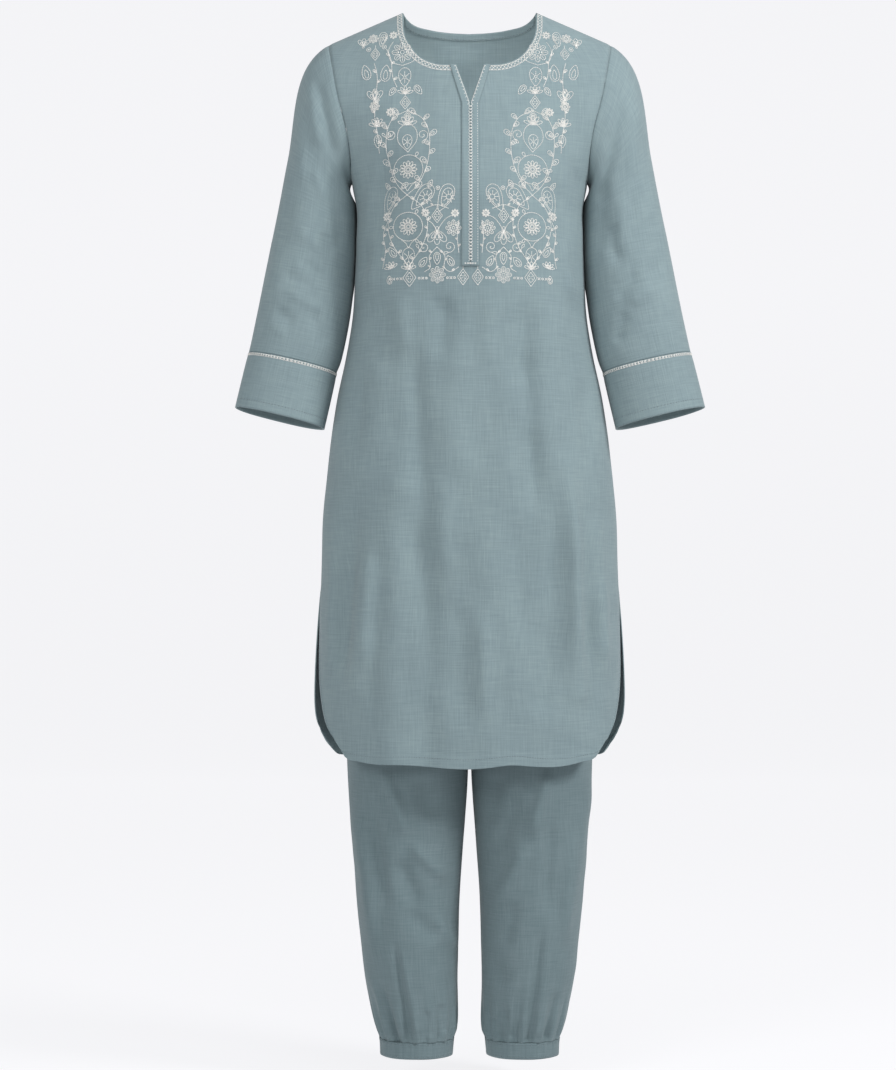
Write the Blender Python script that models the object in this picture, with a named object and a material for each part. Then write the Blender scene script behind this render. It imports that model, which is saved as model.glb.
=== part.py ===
"""Kurta set: a hollow tunic with set-in sleeves over gathered-ankle trousers, held open as on a figure.

Every piece is a cloth wall with thickness, worked out from the section and fold tables below.
Table sizes are millimetres. "drop" is the distance below the shoulder neck points, which lie at height 0.
"across" is positive to the viewer's right, and the front of the garment faces -Y.
"""

import math

import bpy
import numpy as np

MM = 0.001
WALL = 1.5  # cloth wall, with its turned seam allowances
BAND_WALL = 1.0  # placket and facing, a single pressed layer
CUFF_WALL = 2.4  # doubled cloth of the sleeve and ankle cuffs
CASING_WALL = 3.0  # waistband with its elastic
SEAM_GAP = 0.3  # space left between two sewn pieces
LAY_GAP = 0.4  # space between a band and the panel it lies on
MOST_MITRE = 1.4  # longest slanted wall at a seam, as a multiple of the straight one

FRONT = -1
BACK = 1

SHOULDER_NECK = 89.0  # half the neck width at the shoulder seam
SHOULDER_SLOPE = 0.435  # fall of the shoulder seam per millimetre across
SHOULDER_END = 189.0
UNDERARM = 230.0
SLIT_TOP = 775.0
BODY_ROUND = 2.3  # roundness power of the body sections, 2 is an ellipse
CENTRE_ROUND = 80.0  # the chest and back are rounded this far on each side of their middle
SHOULDER_ROLL = 60.0  # height over which the cloth rolls forward or back from the shoulder seam
ROLL_DEPTH = {FRONT: 45.0, BACK: 68.0}
NARROWING = {FRONT: 0.13, BACK: 0.05}  # loss of depth per millimetre across, above the waist
SLEEVE_ROUND = 2.2
LEG_ROUND = 2.15
BODY_REACH = 0.75  # depth of each section for a width of 1, which spaces its columns by length
HIP_REACH = 0.7
LEG_REACH = 1.0
COLUMNS = 10  # columns of a kurta panel on each side of its middle
NECK_COLUMN = 7  # column that starts at the shoulder neck point
SLIT_COLUMN = 2  # column that starts at the top corner of the neck slit

WAIST_TOP = 400.0
WAIST_SEAM = 425.0
CROTCH = 700.0
RISE_START = 560.0  # the crotch curve leaves the centre seam here
ANKLE_SEAM = 1372.0
ANKLE_HEM = 1394.0

# Shares of the way from the top edge to the underarm, one row each.
TOP_ROWS = (0.0, 0.04, 0.10, 0.20, 0.34, 0.50, 0.66, 0.80, 0.91, 1.0)
MIDDLE_ROWS = 12
LOWER_ROWS = 6


def table(names, *rows):
    """Columns of a table by name, each an array with one value per row."""
    return dict(zip(names.split(), np.array(rows, float).T))


BODY = table(
    "drop half_width middle front back",
    (0.0, 193.0, 6.0, 56.6, 72.6),
    (43.5, 189.0, 6.0, 69.7, 77.9),
    (90.0, 181.0, 5.0, 83.6, 83.4),
    (128.0, 173.0, 4.0, 95.0, 88.0),
    (164.0, 163.5, 3.0, 105.8, 92.3),
    (200.0, 158.5, 1.0, 116.6, 96.6),
    (230.0, 157.0, 0.0, 125.0, 100.5),
    (264.0, 151.0, 0.0, 129.5, 103.0),
    (311.0, 151.5, 0.0, 127.0, 101.0),
    (356.0, 153.0, 0.0, 121.0, 97.0),
    (411.0, 156.5, 0.0, 115.0, 95.0),
    (438.0, 160.5, 0.0, 113.5, 98.0),
    (465.0, 165.5, 0.0, 113.0, 102.0),
    (519.0, 177.0, 0.0, 114.0, 111.0),
    (572.0, 185.0, 0.0, 116.0, 118.0),
    (626.0, 191.0, 0.0, 119.0, 123.0),
    (679.0, 196.0, 0.0, 121.0, 126.0),
    (733.0, 197.5, 0.0, 122.5, 127.5),
    (787.0, 199.0, 0.0, 123.5, 128.5),
    (894.0, 201.0, 0.0, 125.0, 129.5),
    (1012.0, 202.0, 0.0, 126.5, 130.5),
)

# How far the armhole edge has turned toward the side: 1 where front and back meet.
TURN = table(
    "drop share",
    (0.0, 0.35),
    (43.5, 0.35),
    (100.0, 0.42),
    (156.0, 0.56),
    (194.0, 0.78),
    (215.0, 0.92),
    (230.0, 1.0),
)

# Top edge of each panel between its neck points: column, distance across and drop.
FRONT_NECK = table(
    "column across drop",
    (2.0, 18.1, 81.9),
    (3.0, 42.0, 81.0),
    (4.0, 61.5, 73.5),
    (5.0, 75.0, 60.0),
    (6.0, 86.5, 36.0),
    (7.0, 89.0, 0.0),
)
SLIT_END = 135.0
BACK_NECK = table(
    "column across drop",
    (0.0, 0.0, 16.0),
    (2.0, 26.0, 15.0),
    (4.0, 52.0, 12.5),
    (6.0, 78.0, 7.0),
    (7.0, 89.0, 0.0),
)

# Below the side slits: share of the way down, how much of each panel's width is left, the back's flare.
TAIL = table(
    "down front back flare",
    (0.0, 1.0, 1.0, 0.0),
    (0.25, 0.985, 1.0, 3.0),
    (0.5, 0.93, 1.0, 5.0),
    (0.75, 0.83, 0.95, 6.0),
    (1.0, 0.66, 0.76, 6.0),
)
# Hem drop by share of the way across.
HEM = table(
    "across front back",
    (0.0, 1001.0, 1001.0),
    (0.5, 1000.0, 1001.0),
    (0.8, 996.0, 1001.0),
    (0.93, 989.0, 994.0),
    (1.0, 975.0, 975.0),
)

SLEEVE = table(
    "outer_x outer_drop inner_x inner_drop middle half_depth tilt",
    (243.0, 195.0, 155.0, 262.0, 7.0, 57.0, 0.0),
    (255.5, 262.0, 154.3, 295.0, 5.0, 57.0, 0.0),
    (268.5, 326.0, 156.2, 352.0, 2.0, 57.0, 0.02),
    (279.5, 383.0, 160.5, 409.0, -3.0, 55.5, 0.05),
    (289.7, 435.0, 170.8, 462.0, -10.0, 50.0, 0.07),
    (294.5, 457.3, 178.4, 483.7, -13.0, 46.5, 0.08),
)
CUFF = table(
    "outer_x outer_drop inner_x inner_drop middle half_depth tilt",
    (294.7, 457.6, 178.4, 484.0, -13.0, 46.7, 0.08),
    (303.5, 494.0, 186.5, 521.5, -17.0, 45.5, 0.08),
    (312.0, 530.6, 195.0, 558.8, -21.0, 44.0, 0.08),
)
CAP_ROWS = (0.0, 0.1, 0.25, 0.45, 0.7, 1.0)
CAP_PULL = 0.36  # length of the cap curve's handles, as a share of its span
SLEEVE_START_TOP = (0.86, 0.0, -0.51)  # direction the sleeve leaves the armhole at the shoulder
SLEEVE_START_LOW = (0.80, 0.0, -0.60)  # and under the arm

HIP = table(
    "drop half_width front back",
    (400.0, 130.0, 85.0, 83.0),
    (425.0, 131.0, 86.0, 85.0),
    (470.0, 145.0, 92.0, 92.2),
    (520.0, 160.0, 99.0, 103.2),
    (560.0, 168.0, 103.0, 110.2),
    (630.0, 172.0, 105.0, 116.2),
    (700.0, 172.0, 104.0, 114.2),
)
LEG = table(
    "drop centre half_width half_depth",
    (560.0, 85.0, 84.0, 98.0),
    (700.0, 86.4, 85.6, 96.0),
    (730.0, 86.5, 83.5, 95.0),
    (790.0, 84.5, 81.5, 94.0),
    (860.0, 83.5, 80.5, 92.0),
    (1028.0, 82.8, 79.8, 84.0),
    (1108.0, 82.4, 73.7, 78.0),
    (1189.0, 82.4, 68.4, 72.0),
    (1242.0, 80.4, 65.0, 69.0),
    (1296.0, 77.7, 61.0, 64.5),
    (1323.0, 75.0, 58.3, 61.0),
    (1349.0, 72.3, 54.3, 56.5),
    (1372.0, 70.7, 49.2, 51.5),
    (1394.0, 71.0, 47.6, 49.5),
)
LEG_COARSE_ROWS = (
    *(425.0, 470.0, 520.0, 560.0, 630.0, 672.0, 693.0),
    *(700.0, 712.0, 730.0, 800.0, 880.0, 960.0),
)
LEG_MIDDLE_ROWS = (1010.0, 1060.0, 1110.0, 1160.0, 1205.0, 1245.0)
LEG_FINE_ROWS = (1278.0, 1308.0, 1332.0, 1350.0, 1363.0, 1371.7)
LEG_COLUMNS = 10  # columns of a trouser panel at its top, doubled twice on the way down
LEG_EDGE = 0.08  # share of a panel's width, at each seam, where its folds fade out
CROTCH_LEAN = 0.4  # slant of the wall just under the crotch, as fall per millimetre inward
CROTCH_NEAR = 20.0  # and how far down it goes on
CROTCH_OUT = (-0.5, 0.0, -0.87)  # wall direction at the crotch point
CROTCH_GAP = 0.6  # distance from the middle to each leg's crotch point
CUFF_COLUMNS = 16  # columns of half an ankle cuff
WAIST_COLUMNS = 8  # columns of a quarter of the waistband

GATHERS = 8  # gathers of one panel at its ankle seam
GATHER_DEPTH = table(
    "drop depth", (1300.0, 0.0), (1332.0, 0.7), (1354.0, 1.9), (1366.0, 2.2), (1372.0, 1.3)
)

SIDE_FADE = 1.5  # columns beside a kurta panel's side seam where its folds fade out
TOP_FADE = 0.6  # rows below its top edge, of the one that ends at the underarm, where they do
FOLD_FACING = 1.6  # how fast a sleeve's folds reach full height as its wall turns to the front or back
# Soft folds: panel side, start and end across and drop, half width, height outward.
BODY_FOLDS = table(
    "side start_x start_drop end_x end_drop half_width height",
    (FRONT, -138.0, 745.0, -150.0, 900.0, 13.0, 5.0),
    (FRONT, -165.0, 690.0, -172.0, 860.0, 11.0, -4.0),
    (FRONT, -54.0, 720.0, -56.0, 1003.0, 20.0, -5.5),
    (FRONT, -98.0, 640.0, -104.0, 1000.0, 22.0, 3.5),
    (FRONT, 76.0, 584.0, 93.0, 913.0, 17.0, -5.5),
    (FRONT, 124.0, 610.0, 145.0, 905.0, 15.0, 5.0),
    (FRONT, 166.0, 690.0, 172.0, 850.0, 11.0, 3.5),
    (FRONT, 20.0, 700.0, 24.0, 1003.0, 24.0, 3.0),
    (FRONT, -109.0, 252.0, -136.0, 345.0, 12.0, -4.0),
    (FRONT, -88.0, 262.0, -118.0, 380.0, 15.0, 3.0),
    (FRONT, 112.0, 250.0, 134.0, 350.0, 13.0, -3.5),
    (FRONT, -118.0, 400.0, -96.0, 560.0, 18.0, -3.0),
    (FRONT, 110.0, 410.0, 100.0, 560.0, 18.0, 3.0),
    (BACK, 0.0, 300.0, 6.0, 560.0, 24.0, -5.0),
    (BACK, -72.0, 330.0, -62.0, 700.0, 20.0, 4.5),
    (BACK, 70.0, 320.0, 82.0, 720.0, 22.0, 4.0),
    (BACK, -108.0, 640.0, -118.0, 985.0, 20.0, -5.0),
    (BACK, 40.0, 700.0, 34.0, 1000.0, 22.0, -4.5),
    (BACK, 120.0, 620.0, 140.0, 930.0, 16.0, -4.5),
    (BACK, -30.0, 760.0, -26.0, 1000.0, 20.0, 4.0),
    (BACK, -118.0, 190.0, -132.0, 330.0, 14.0, -3.5),
    (BACK, 116.0, 180.0, 134.0, 320.0, 14.0, -3.5),
)
# Sleeve and leg folds are given as on the wearer's outside: across is measured away from the middle.
SLEEVE_FOLDS_LEFT = table(
    "side start_x start_drop end_x end_drop half_width height",
    (FRONT, 215.0, 92.0, 198.0, 192.0, 8.0, 3.5),
    (FRONT, 201.0, 94.0, 178.0, 208.0, 8.0, -4.0),
    (FRONT, 224.0, 137.0, 221.0, 240.0, 9.0, 3.0),
    (FRONT, 222.0, 338.0, 190.0, 360.0, 9.0, -3.5),
    (FRONT, 258.0, 400.0, 232.0, 423.0, 9.0, -3.0),
    (FRONT, 196.0, 300.0, 182.0, 330.0, 9.0, -3.0),
    (BACK, 214.0, 90.0, 200.0, 200.0, 9.0, 3.5),
    (BACK, 205.0, 330.0, 250.0, 352.0, 10.0, -4.0),
    (BACK, 196.0, 372.0, 238.0, 392.0, 10.0, 3.0),
)
SLEEVE_FOLDS_RIGHT = table(
    "side start_x start_drop end_x end_drop half_width height",
    (FRONT, 206.0, 96.0, 184.0, 196.0, 8.0, -3.5),
    (FRONT, 192.0, 176.0, 168.0, 262.0, 8.0, -4.0),
    (FRONT, 222.0, 120.0, 214.0, 230.0, 10.0, 3.0),
    (FRONT, 186.0, 285.0, 196.0, 345.0, 9.0, -3.5),
    (FRONT, 246.0, 372.0, 214.0, 396.0, 9.0, 3.0),
    (BACK, 218.0, 96.0, 202.0, 190.0, 9.0, -3.5),
    (BACK, 200.0, 318.0, 252.0, 336.0, 10.0, -4.0),
    (BACK, 206.0, 402.0, 250.0, 416.0, 9.0, -3.0),
)
LEG_FOLDS_LEFT = table(
    "side start_x start_drop end_x end_drop half_width height",
    (FRONT, 153.0, 1030.0, 122.0, 1280.0, 10.0, 3.5),
    (FRONT, 112.0, 1010.0, 32.0, 1160.0, 14.0, 4.0),
    (FRONT, 60.0, 1190.0, 18.0, 1240.0, 10.0, -3.0),
    (FRONT, 122.0, 1285.0, 95.0, 1369.0, 5.5, -4.5),
    (FRONT, 101.0, 1228.0, 79.0, 1356.0, 5.5, -5.0),
    (FRONT, 134.0, 1275.0, 107.0, 1358.0, 5.5, 3.0),
    (FRONT, 38.0, 1318.0, 34.0, 1354.0, 4.5, -3.0),
    (FRONT, 56.0, 1326.0, 53.0, 1358.0, 4.5, -3.0),
    (BACK, 120.0, 1060.0, 40.0, 1190.0, 14.0, 4.0),
    (BACK, 108.0, 1250.0, 92.0, 1364.0, 6.0, -4.5),
    (BACK, 62.0, 1270.0, 60.0, 1364.0, 6.0, -4.0),
    (BACK, 38.0, 1300.0, 42.0, 1362.0, 5.0, -3.0),
)
LEG_FOLDS_RIGHT = table(
    "side start_x start_drop end_x end_drop half_width height",
    (FRONT, 160.0, 1004.0, 121.0, 1256.0, 10.0, 3.5),
    (FRONT, 106.0, 1022.0, 26.0, 1214.0, 13.0, 4.0),
    (FRONT, 97.0, 1208.0, 76.0, 1366.0, 6.0, -5.0),
    (FRONT, 117.0, 1300.0, 101.0, 1364.0, 5.5, -4.0),
    (FRONT, 44.0, 1318.0, 52.0, 1360.0, 5.0, -3.5),
    (FRONT, 31.0, 1334.0, 38.0, 1364.0, 4.0, -2.5),
    (BACK, 100.0, 1040.0, 36.0, 1220.0, 14.0, 4.0),
    (BACK, 112.0, 1262.0, 96.0, 1366.0, 6.0, -4.5),
    (BACK, 74.0, 1240.0, 70.0, 1364.0, 6.0, -4.5),
    (BACK, 46.0, 1290.0, 46.0, 1364.0, 5.0, -3.0),
)

NO_FOLDS = table("side", (0.0,))

PLACKET_HALF = 11.0
PLACKET_END = 351.0
PLACKET_ARM = 8.5
PLACKET_ROWS = 10
PLACKET_ARM_ROWS = 3
FACING_COLUMNS = 6

CLOTH = (0.235, 0.305, 0.328, 1.0)
TROUSER_CLOTH = (0.150, 0.190, 0.205, 1.0)


def smooth_through(rows, name, at, key="drop"):
    """Value at `at` of a smooth curve through a table's column, level beyond its ends."""
    places = rows[key]
    values = rows[name]
    at = np.clip(np.asarray(at, float), places[0], places[-1])
    first = np.clip(np.searchsorted(places, at, side="right") - 1, 0, len(places) - 2)
    span = places[first + 1] - places[first]
    t = (at - places[first]) / span
    slopes = np.gradient(values, places)
    start = values[first]
    end = values[first + 1]
    rise = slopes[first] * span
    fall = slopes[first + 1] * span
    keep = (2.0 * t - 3.0) * t * t + 1.0
    return keep * start + (1.0 - keep) * end + t * (1.0 - t) * ((1.0 - t) * rise - t * fall)


def ease(t):
    """Smooth 0 to 1 step."""
    t = np.clip(t, 0.0, 1.0)
    return t * t * (3.0 - 2.0 * t)


def unit(vectors):
    """The vectors at length 1."""
    return vectors / np.maximum(np.linalg.norm(vectors, axis=-1, keepdims=True), 1e-9)


def arc_angle(share, power, reach):
    """Angle in radians of the point `share` of the way round a quarter section, by length of cloth."""
    angles = np.linspace(0.0, math.pi / 2.0, 400)
    side = np.sin(angles) ** (2.0 / power)
    ahead = reach * np.cos(angles) ** (2.0 / power)
    lengths = np.concatenate([[0.0], np.cumsum(np.hypot(np.diff(side), np.diff(ahead)))])
    return np.interp(share, lengths / lengths[-1], angles)


def rounded(values, power):
    """Signed power that turns a circle's coordinate into a rounded section's."""
    return np.sign(values) * np.abs(values) ** (2.0 / power)


def fold_height(folds, side, x, drop):
    """Height of the table's soft folds at a point of one side, in millimetres outward."""
    height = np.zeros(np.broadcast(x, drop).shape)
    for row in range(len(folds["side"])):
        if folds["side"][row] != side:
            continue
        start = np.array([folds["start_x"][row], folds["start_drop"][row]])
        run = np.array([folds["end_x"][row], folds["end_drop"][row]]) - start
        along = ((x - start[0]) * run[0] + (drop - start[1]) * run[1]) / (run @ run)
        along = np.clip(along, 0.0, 1.0)
        off = np.hypot(x - start[0] - along * run[0], drop - start[1] - along * run[1])
        height += folds["height"][row] * np.exp(-((off / folds["half_width"][row]) ** 2))
    return height


def top_edge(side, column):
    """Distance across and drop of a kurta panel's top edge at a column from 0, its middle, to COLUMNS."""
    neck = FRONT_NECK if side == FRONT else BACK_NECK
    across = smooth_through(neck, "across", column, "column")
    drop = smooth_through(neck, "drop", column, "column")
    if side == FRONT:
        share = column / SLIT_COLUMN
        slit = column < SLIT_COLUMN
        across = np.where(slit, share * FRONT_NECK["across"][0], across)
        drop = np.where(slit, SLIT_END + share * (FRONT_NECK["drop"][0] - SLIT_END), drop)
    share = (column - NECK_COLUMN) / (COLUMNS - NECK_COLUMN)
    out = SHOULDER_NECK + share * (SHOULDER_END - SHOULDER_NECK)
    shoulder = column > NECK_COLUMN
    across = np.where(shoulder, out, across)
    drop = np.where(shoulder, (out - SHOULDER_NECK) * SHOULDER_SLOPE, drop)
    return across, drop


def soft_distance(x):
    """Distance from the middle, rounded off near it so that no crease runs down the centre."""
    x = np.abs(x)
    near = x * x / (2.0 * CENTRE_ROUND) + CENTRE_ROUND / 2.0
    return np.where(x < CENTRE_ROUND, near, x)


def body_depth(side, x, drop):
    """How far the kurta stands before or behind its middle line, before it turns toward the side."""
    centre = smooth_through(BODY, "front" if side == FRONT else "back", drop)
    out = soft_distance(x)
    narrowing = NARROWING[side] * (out - CENTRE_ROUND / 2.0)
    centre = centre - narrowing * (1.0 - ease((drop - UNDERARM) / (WAIST_TOP - UNDERARM)))
    rolled = np.clip((drop - SHOULDER_SLOPE * (out - SHOULDER_NECK)) / SHOULDER_ROLL, 0.0, 1.0)
    roll = ROLL_DEPTH[side] * np.sqrt(1.0 - (1.0 - rolled) ** 2)
    return roll + np.maximum(centre - ROLL_DEPTH[side], 0.0) * rolled


def body_place(side, x, drop):
    """Point of the kurta's plain surface above the given place of its front view."""
    width = smooth_through(BODY, "half_width", drop)
    share = np.clip(np.abs(x) / width, 0.0, 1.0)
    turn = np.where(drop < UNDERARM, smooth_through(TURN, "share", drop), 1.0)
    left = np.maximum(1.0 - turn * share**BODY_ROUND, 0.0) ** (1.0 / BODY_ROUND)
    y = smooth_through(BODY, "middle", drop) + side * body_depth(side, x, drop) * left
    return np.stack([np.broadcast_to(x, y.shape), y, np.broadcast_to(-drop, y.shape)], -1)


def kurta_grid(side, columns, rows):
    """Middle surface of a kurta panel.

    columns run from -COLUMNS to COLUMNS. rows run from 0, the top edge, past 1, the underarm, and 2, the
    top of the side slits, to 3, the hem.
    """
    column, row = np.meshgrid(np.asarray(columns, float), np.asarray(rows, float))
    hand = np.where(column < 0.0, -1.0, 1.0)
    column = np.abs(column)
    share = column / COLUMNS
    top_x, top_drop = top_edge(side, column)
    upper = np.clip(row, 0.0, 1.0)
    tail = np.clip(row - 2.0, 0.0, 1.0)
    hem = smooth_through(HEM, "front" if side == FRONT else "back", share, "across")
    drop = top_drop + (UNDERARM - top_drop) * upper
    drop = drop + (SLIT_TOP - UNDERARM) * np.clip(row - 1.0, 0.0, 1.0) + (hem - SLIT_TOP) * tail
    kept = smooth_through(TAIL, "front" if side == FRONT else "back", tail, "down")
    angle = arc_angle(share * kept, BODY_ROUND, BODY_REACH)
    low = np.sin(angle) ** (2.0 / BODY_ROUND)
    high = top_x / smooth_through(BODY, "half_width", top_drop)
    width_share = high + (low - high) * ease(upper)
    width_share = np.where(row > 1.0, low, width_share)
    x = width_share * smooth_through(BODY, "half_width", drop)
    points = body_place(side, x, drop)
    if side == BACK:
        points[..., 0] += width_share**4 * smooth_through(TAIL, "flare", tail, "down")
    points[..., 0] *= hand
    return points


def normals_of(grid, wrap=False):
    """Unit normals of a grid of points, row by row down and column by column across."""
    if wrap:
        across = np.roll(grid, -1, axis=1) - np.roll(grid, 1, axis=1)
    else:
        across = np.gradient(grid, axis=1)
    return unit(np.cross(np.gradient(grid, axis=0), across))


def strip_faces(counts, wrap=False):
    """Triangles between rows of points. A row has as many points as the last, or its spaces doubled."""
    faces = []
    first = 0
    for upper, lower in zip(counts, counts[1:]):
        second = first + upper
        spaces = upper if wrap else upper - 1
        for k in range(spaces):
            a = first + k
            b = first + (k + 1) % upper
            if lower == upper:
                d = second + k
                c = second + (k + 1) % lower
                if k < spaces / 2:
                    faces += [(a, d, b), (b, d, c)]
                else:
                    faces += [(a, d, c), (a, c, b)]
            else:
                d = second + 2 * k
                c = second + 2 * k + 2
                faces += [(a, d, d + 1), (a, d + 1, b), (b, d + 1, c)]
        first = second
    return faces


def principled(name, colour, roughness=0.85):
    """A cloth material."""
    material = bpy.data.materials.new(name)
    material.use_nodes = True
    shader = material.node_tree.nodes["Principled BSDF"]
    shader.inputs["Base Color"].default_value = colour
    shader.inputs["Roughness"].default_value = roughness
    return material


def wall(name, points, out, faces, thickness, colour):
    """Makes the closed cloth wall on both sides of a middle surface.

    points are in millimetres. out holds each point's direction, longer than 1 where a seam is mitred.
    """
    points = np.asarray(points, float).reshape(-1, 3)
    out = np.asarray(out, float).reshape(-1, 3) * thickness / 2.0
    count = len(points)
    corners = np.concatenate([points + out, points - out])
    edges = {}
    for face in faces:
        for a, b in zip(face, face[1:] + face[:1]):
            edges[(a, b)] = True
    solid = list(faces)
    solid += [tuple(count + k for k in reversed(face)) for face in faces]
    for a, b in edges:
        if (b, a) not in edges:
            solid += [(b, a, a + count), (b, a + count, b + count)]
    ends = corners[np.array(solid)]
    if np.linalg.det(ends).sum() < 0.0:
        solid = [tuple(reversed(face)) for face in solid]
    mesh = bpy.data.meshes.new(name)
    mesh.from_pydata((corners * MM).tolist(), [], solid)
    mesh.validate()
    mesh.materials.append(principled(name + "_cloth", colour))
    mesh.shade_smooth()
    part = bpy.data.objects.new(name, mesh)
    bpy.context.scene.collection.objects.link(part)
    return part


def mirrored(points, hand):
    """The points as they are for the right hand, or mirrored for the left."""
    return points * np.array([hand, 1.0, 1.0])


def joined_out(first, second):
    """Direction that two meeting walls share at their seam, lengthened to keep them thick."""
    shared = unit(first + second)
    lean = np.sum(shared * first, axis=-1, keepdims=True)
    return shared * np.minimum(1.0 / np.maximum(lean, 0.1), MOST_MITRE)


def section_ring(sizes, row, angles):
    """Points of a sleeve section at angles from its outer side, round by the front to the inner side."""
    outer = np.array([sizes["outer_x"][row], 0.0, -sizes["outer_drop"][row]])
    inner = np.array([sizes["inner_x"][row], 0.0, -sizes["inner_drop"][row]])
    centre = (outer + inner) / 2.0 + np.array([0.0, sizes["middle"][row], 0.0])
    ahead = sizes["half_depth"][row] * np.array([0.0, -1.0, sizes["tilt"][row]])
    side = rounded(np.cos(angles), SLEEVE_ROUND)[:, None] * (outer - inner) / 2.0
    return centre + side + rounded(np.sin(angles), SLEEVE_ROUND)[:, None] * ahead


def between_rings(rings, steps):
    """Rings on smooth lines through the given ones, `steps` spaces to each pair."""
    rings = np.array(rings)
    slopes = np.gradient(rings, axis=0)
    made = []
    for k in range(len(rings) - 1):
        for step in range(steps):
            t = step / steps
            keep = (2.0 * t - 3.0) * t * t + 1.0
            bend = t * (1.0 - t) * ((1.0 - t) * slopes[k] - t * slopes[k + 1])
            made.append(keep * rings[k] + (1.0 - keep) * rings[k + 1] + bend)
    made.append(rings[-1])
    return np.array(made)


def ring_angles(armhole):
    """Angle round the sleeve of each armhole point, by its share of the armhole's length."""
    half = len(armhole) // 2
    steps = np.linalg.norm(np.roll(armhole, -1, axis=0) - armhole, axis=1)
    front = np.concatenate([[0.0], np.cumsum(steps[:half])])
    back = np.concatenate([[0.0], np.cumsum(steps[half:])])
    angles = np.concatenate([front / front[-1], 1.0 + back[:-1] / back[-1]]) * math.pi
    return angles[: len(armhole)]


def sleeve_grid(armhole, folds):
    """Middle surface of the right-hand sleeve, from the armhole ring to the cuff seam."""
    angles = ring_angles(armhole)
    rings = [section_ring(SLEEVE, row, angles) for row in range(len(SLEEVE["tilt"]))]
    low = (1.0 - np.cos(angles))[:, None] / 2.0
    leave = unit((1.0 - low) * np.array(SLEEVE_START_TOP) + low * np.array(SLEEVE_START_LOW))
    arrive = unit(rings[1] - rings[0])
    span = np.linalg.norm(rings[0] - armhole, axis=1)[:, None] * CAP_PULL
    start = armhole + leave * SEAM_GAP * 0.7
    cap = []
    for t in CAP_ROWS[:-1]:
        near = 3.0 * (1.0 - t) ** 2 * t * (start + leave * span)
        far = 3.0 * (1.0 - t) * t**2 * (rings[0] - arrive * span)
        cap.append((1.0 - t) ** 3 * start + near + far + t**3 * rings[0])
    grid = np.concatenate([cap, between_rings(rings, 2)])
    out = normals_of(grid, wrap=True)
    to_end = np.arange(len(grid)) / 2.0
    rest = np.minimum(to_end, 1.0) * np.minimum(to_end[::-1], 1.0)
    for side in (FRONT, BACK):
        facing = np.clip(out[..., 1] * side * FOLD_FACING, 0.0, 1.0)
        height = fold_height(folds, side, grid[..., 0], -grid[..., 2])
        grid = grid + out * (height * facing * rest[:, None])[..., None]
    return grid


def hip_point(side, share, drop):
    """Quarter section of the trousers' hips, from the centre seam at share 0 to the side at 1."""
    angle = arc_angle(share, LEG_ROUND, HIP_REACH)
    x = smooth_through(HIP, "half_width", drop) * rounded(np.sin(angle), LEG_ROUND)
    depth = smooth_through(HIP, "front" if side == FRONT else "back", drop)
    return x, side * depth * rounded(np.cos(angle), LEG_ROUND)


def leg_point(side, share, drop):
    """Half section of a leg, from the inseam at share 0 to the outseam at 1."""
    near = np.minimum(share, 1.0 - share) * 2.0
    angle = math.pi / 2.0 - arc_angle(1.0 - near, LEG_ROUND, LEG_REACH)
    angle = np.where(share > 0.5, math.pi - angle, angle)
    x = -smooth_through(LEG, "half_width", drop) * rounded(np.cos(angle), LEG_ROUND)
    y = side * smooth_through(LEG, "half_depth", drop) * rounded(np.sin(angle), LEG_ROUND)
    return smooth_through(LEG, "centre", drop) + x, y


def leg_row(side, columns, drop):
    """One row of a right-hand trouser panel's plain surface."""
    share = np.linspace(0.0, 1.0, columns + 1)
    rise = np.clip((drop - RISE_START) / (CROTCH - RISE_START), 0.0, 1.0)
    split = 1.0 - math.sqrt(1.0 - rise * rise)
    hip_x, hip_y = hip_point(side, share, drop)
    leg_x, leg_y = leg_point(side, share, drop)
    x = hip_x + (leg_x - hip_x) * split
    y = hip_y + (leg_y - hip_y) * split
    return np.stack([x, y, np.full(columns + 1, -drop)], -1)


def row_normals(rows_above, row, rows_below, side):
    """Outward unit normals of one row, from its neighbours resampled to its own columns."""
    share = np.linspace(0.0, 1.0, len(row))

    def fitted(other):
        places = np.linspace(0.0, 1.0, len(other))
        return np.stack([np.interp(share, places, other[:, axis]) for axis in range(3)], -1)

    down = fitted(rows_below) - fitted(rows_above)
    return -side * unit(np.cross(down, np.gradient(row, axis=0)))


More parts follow.
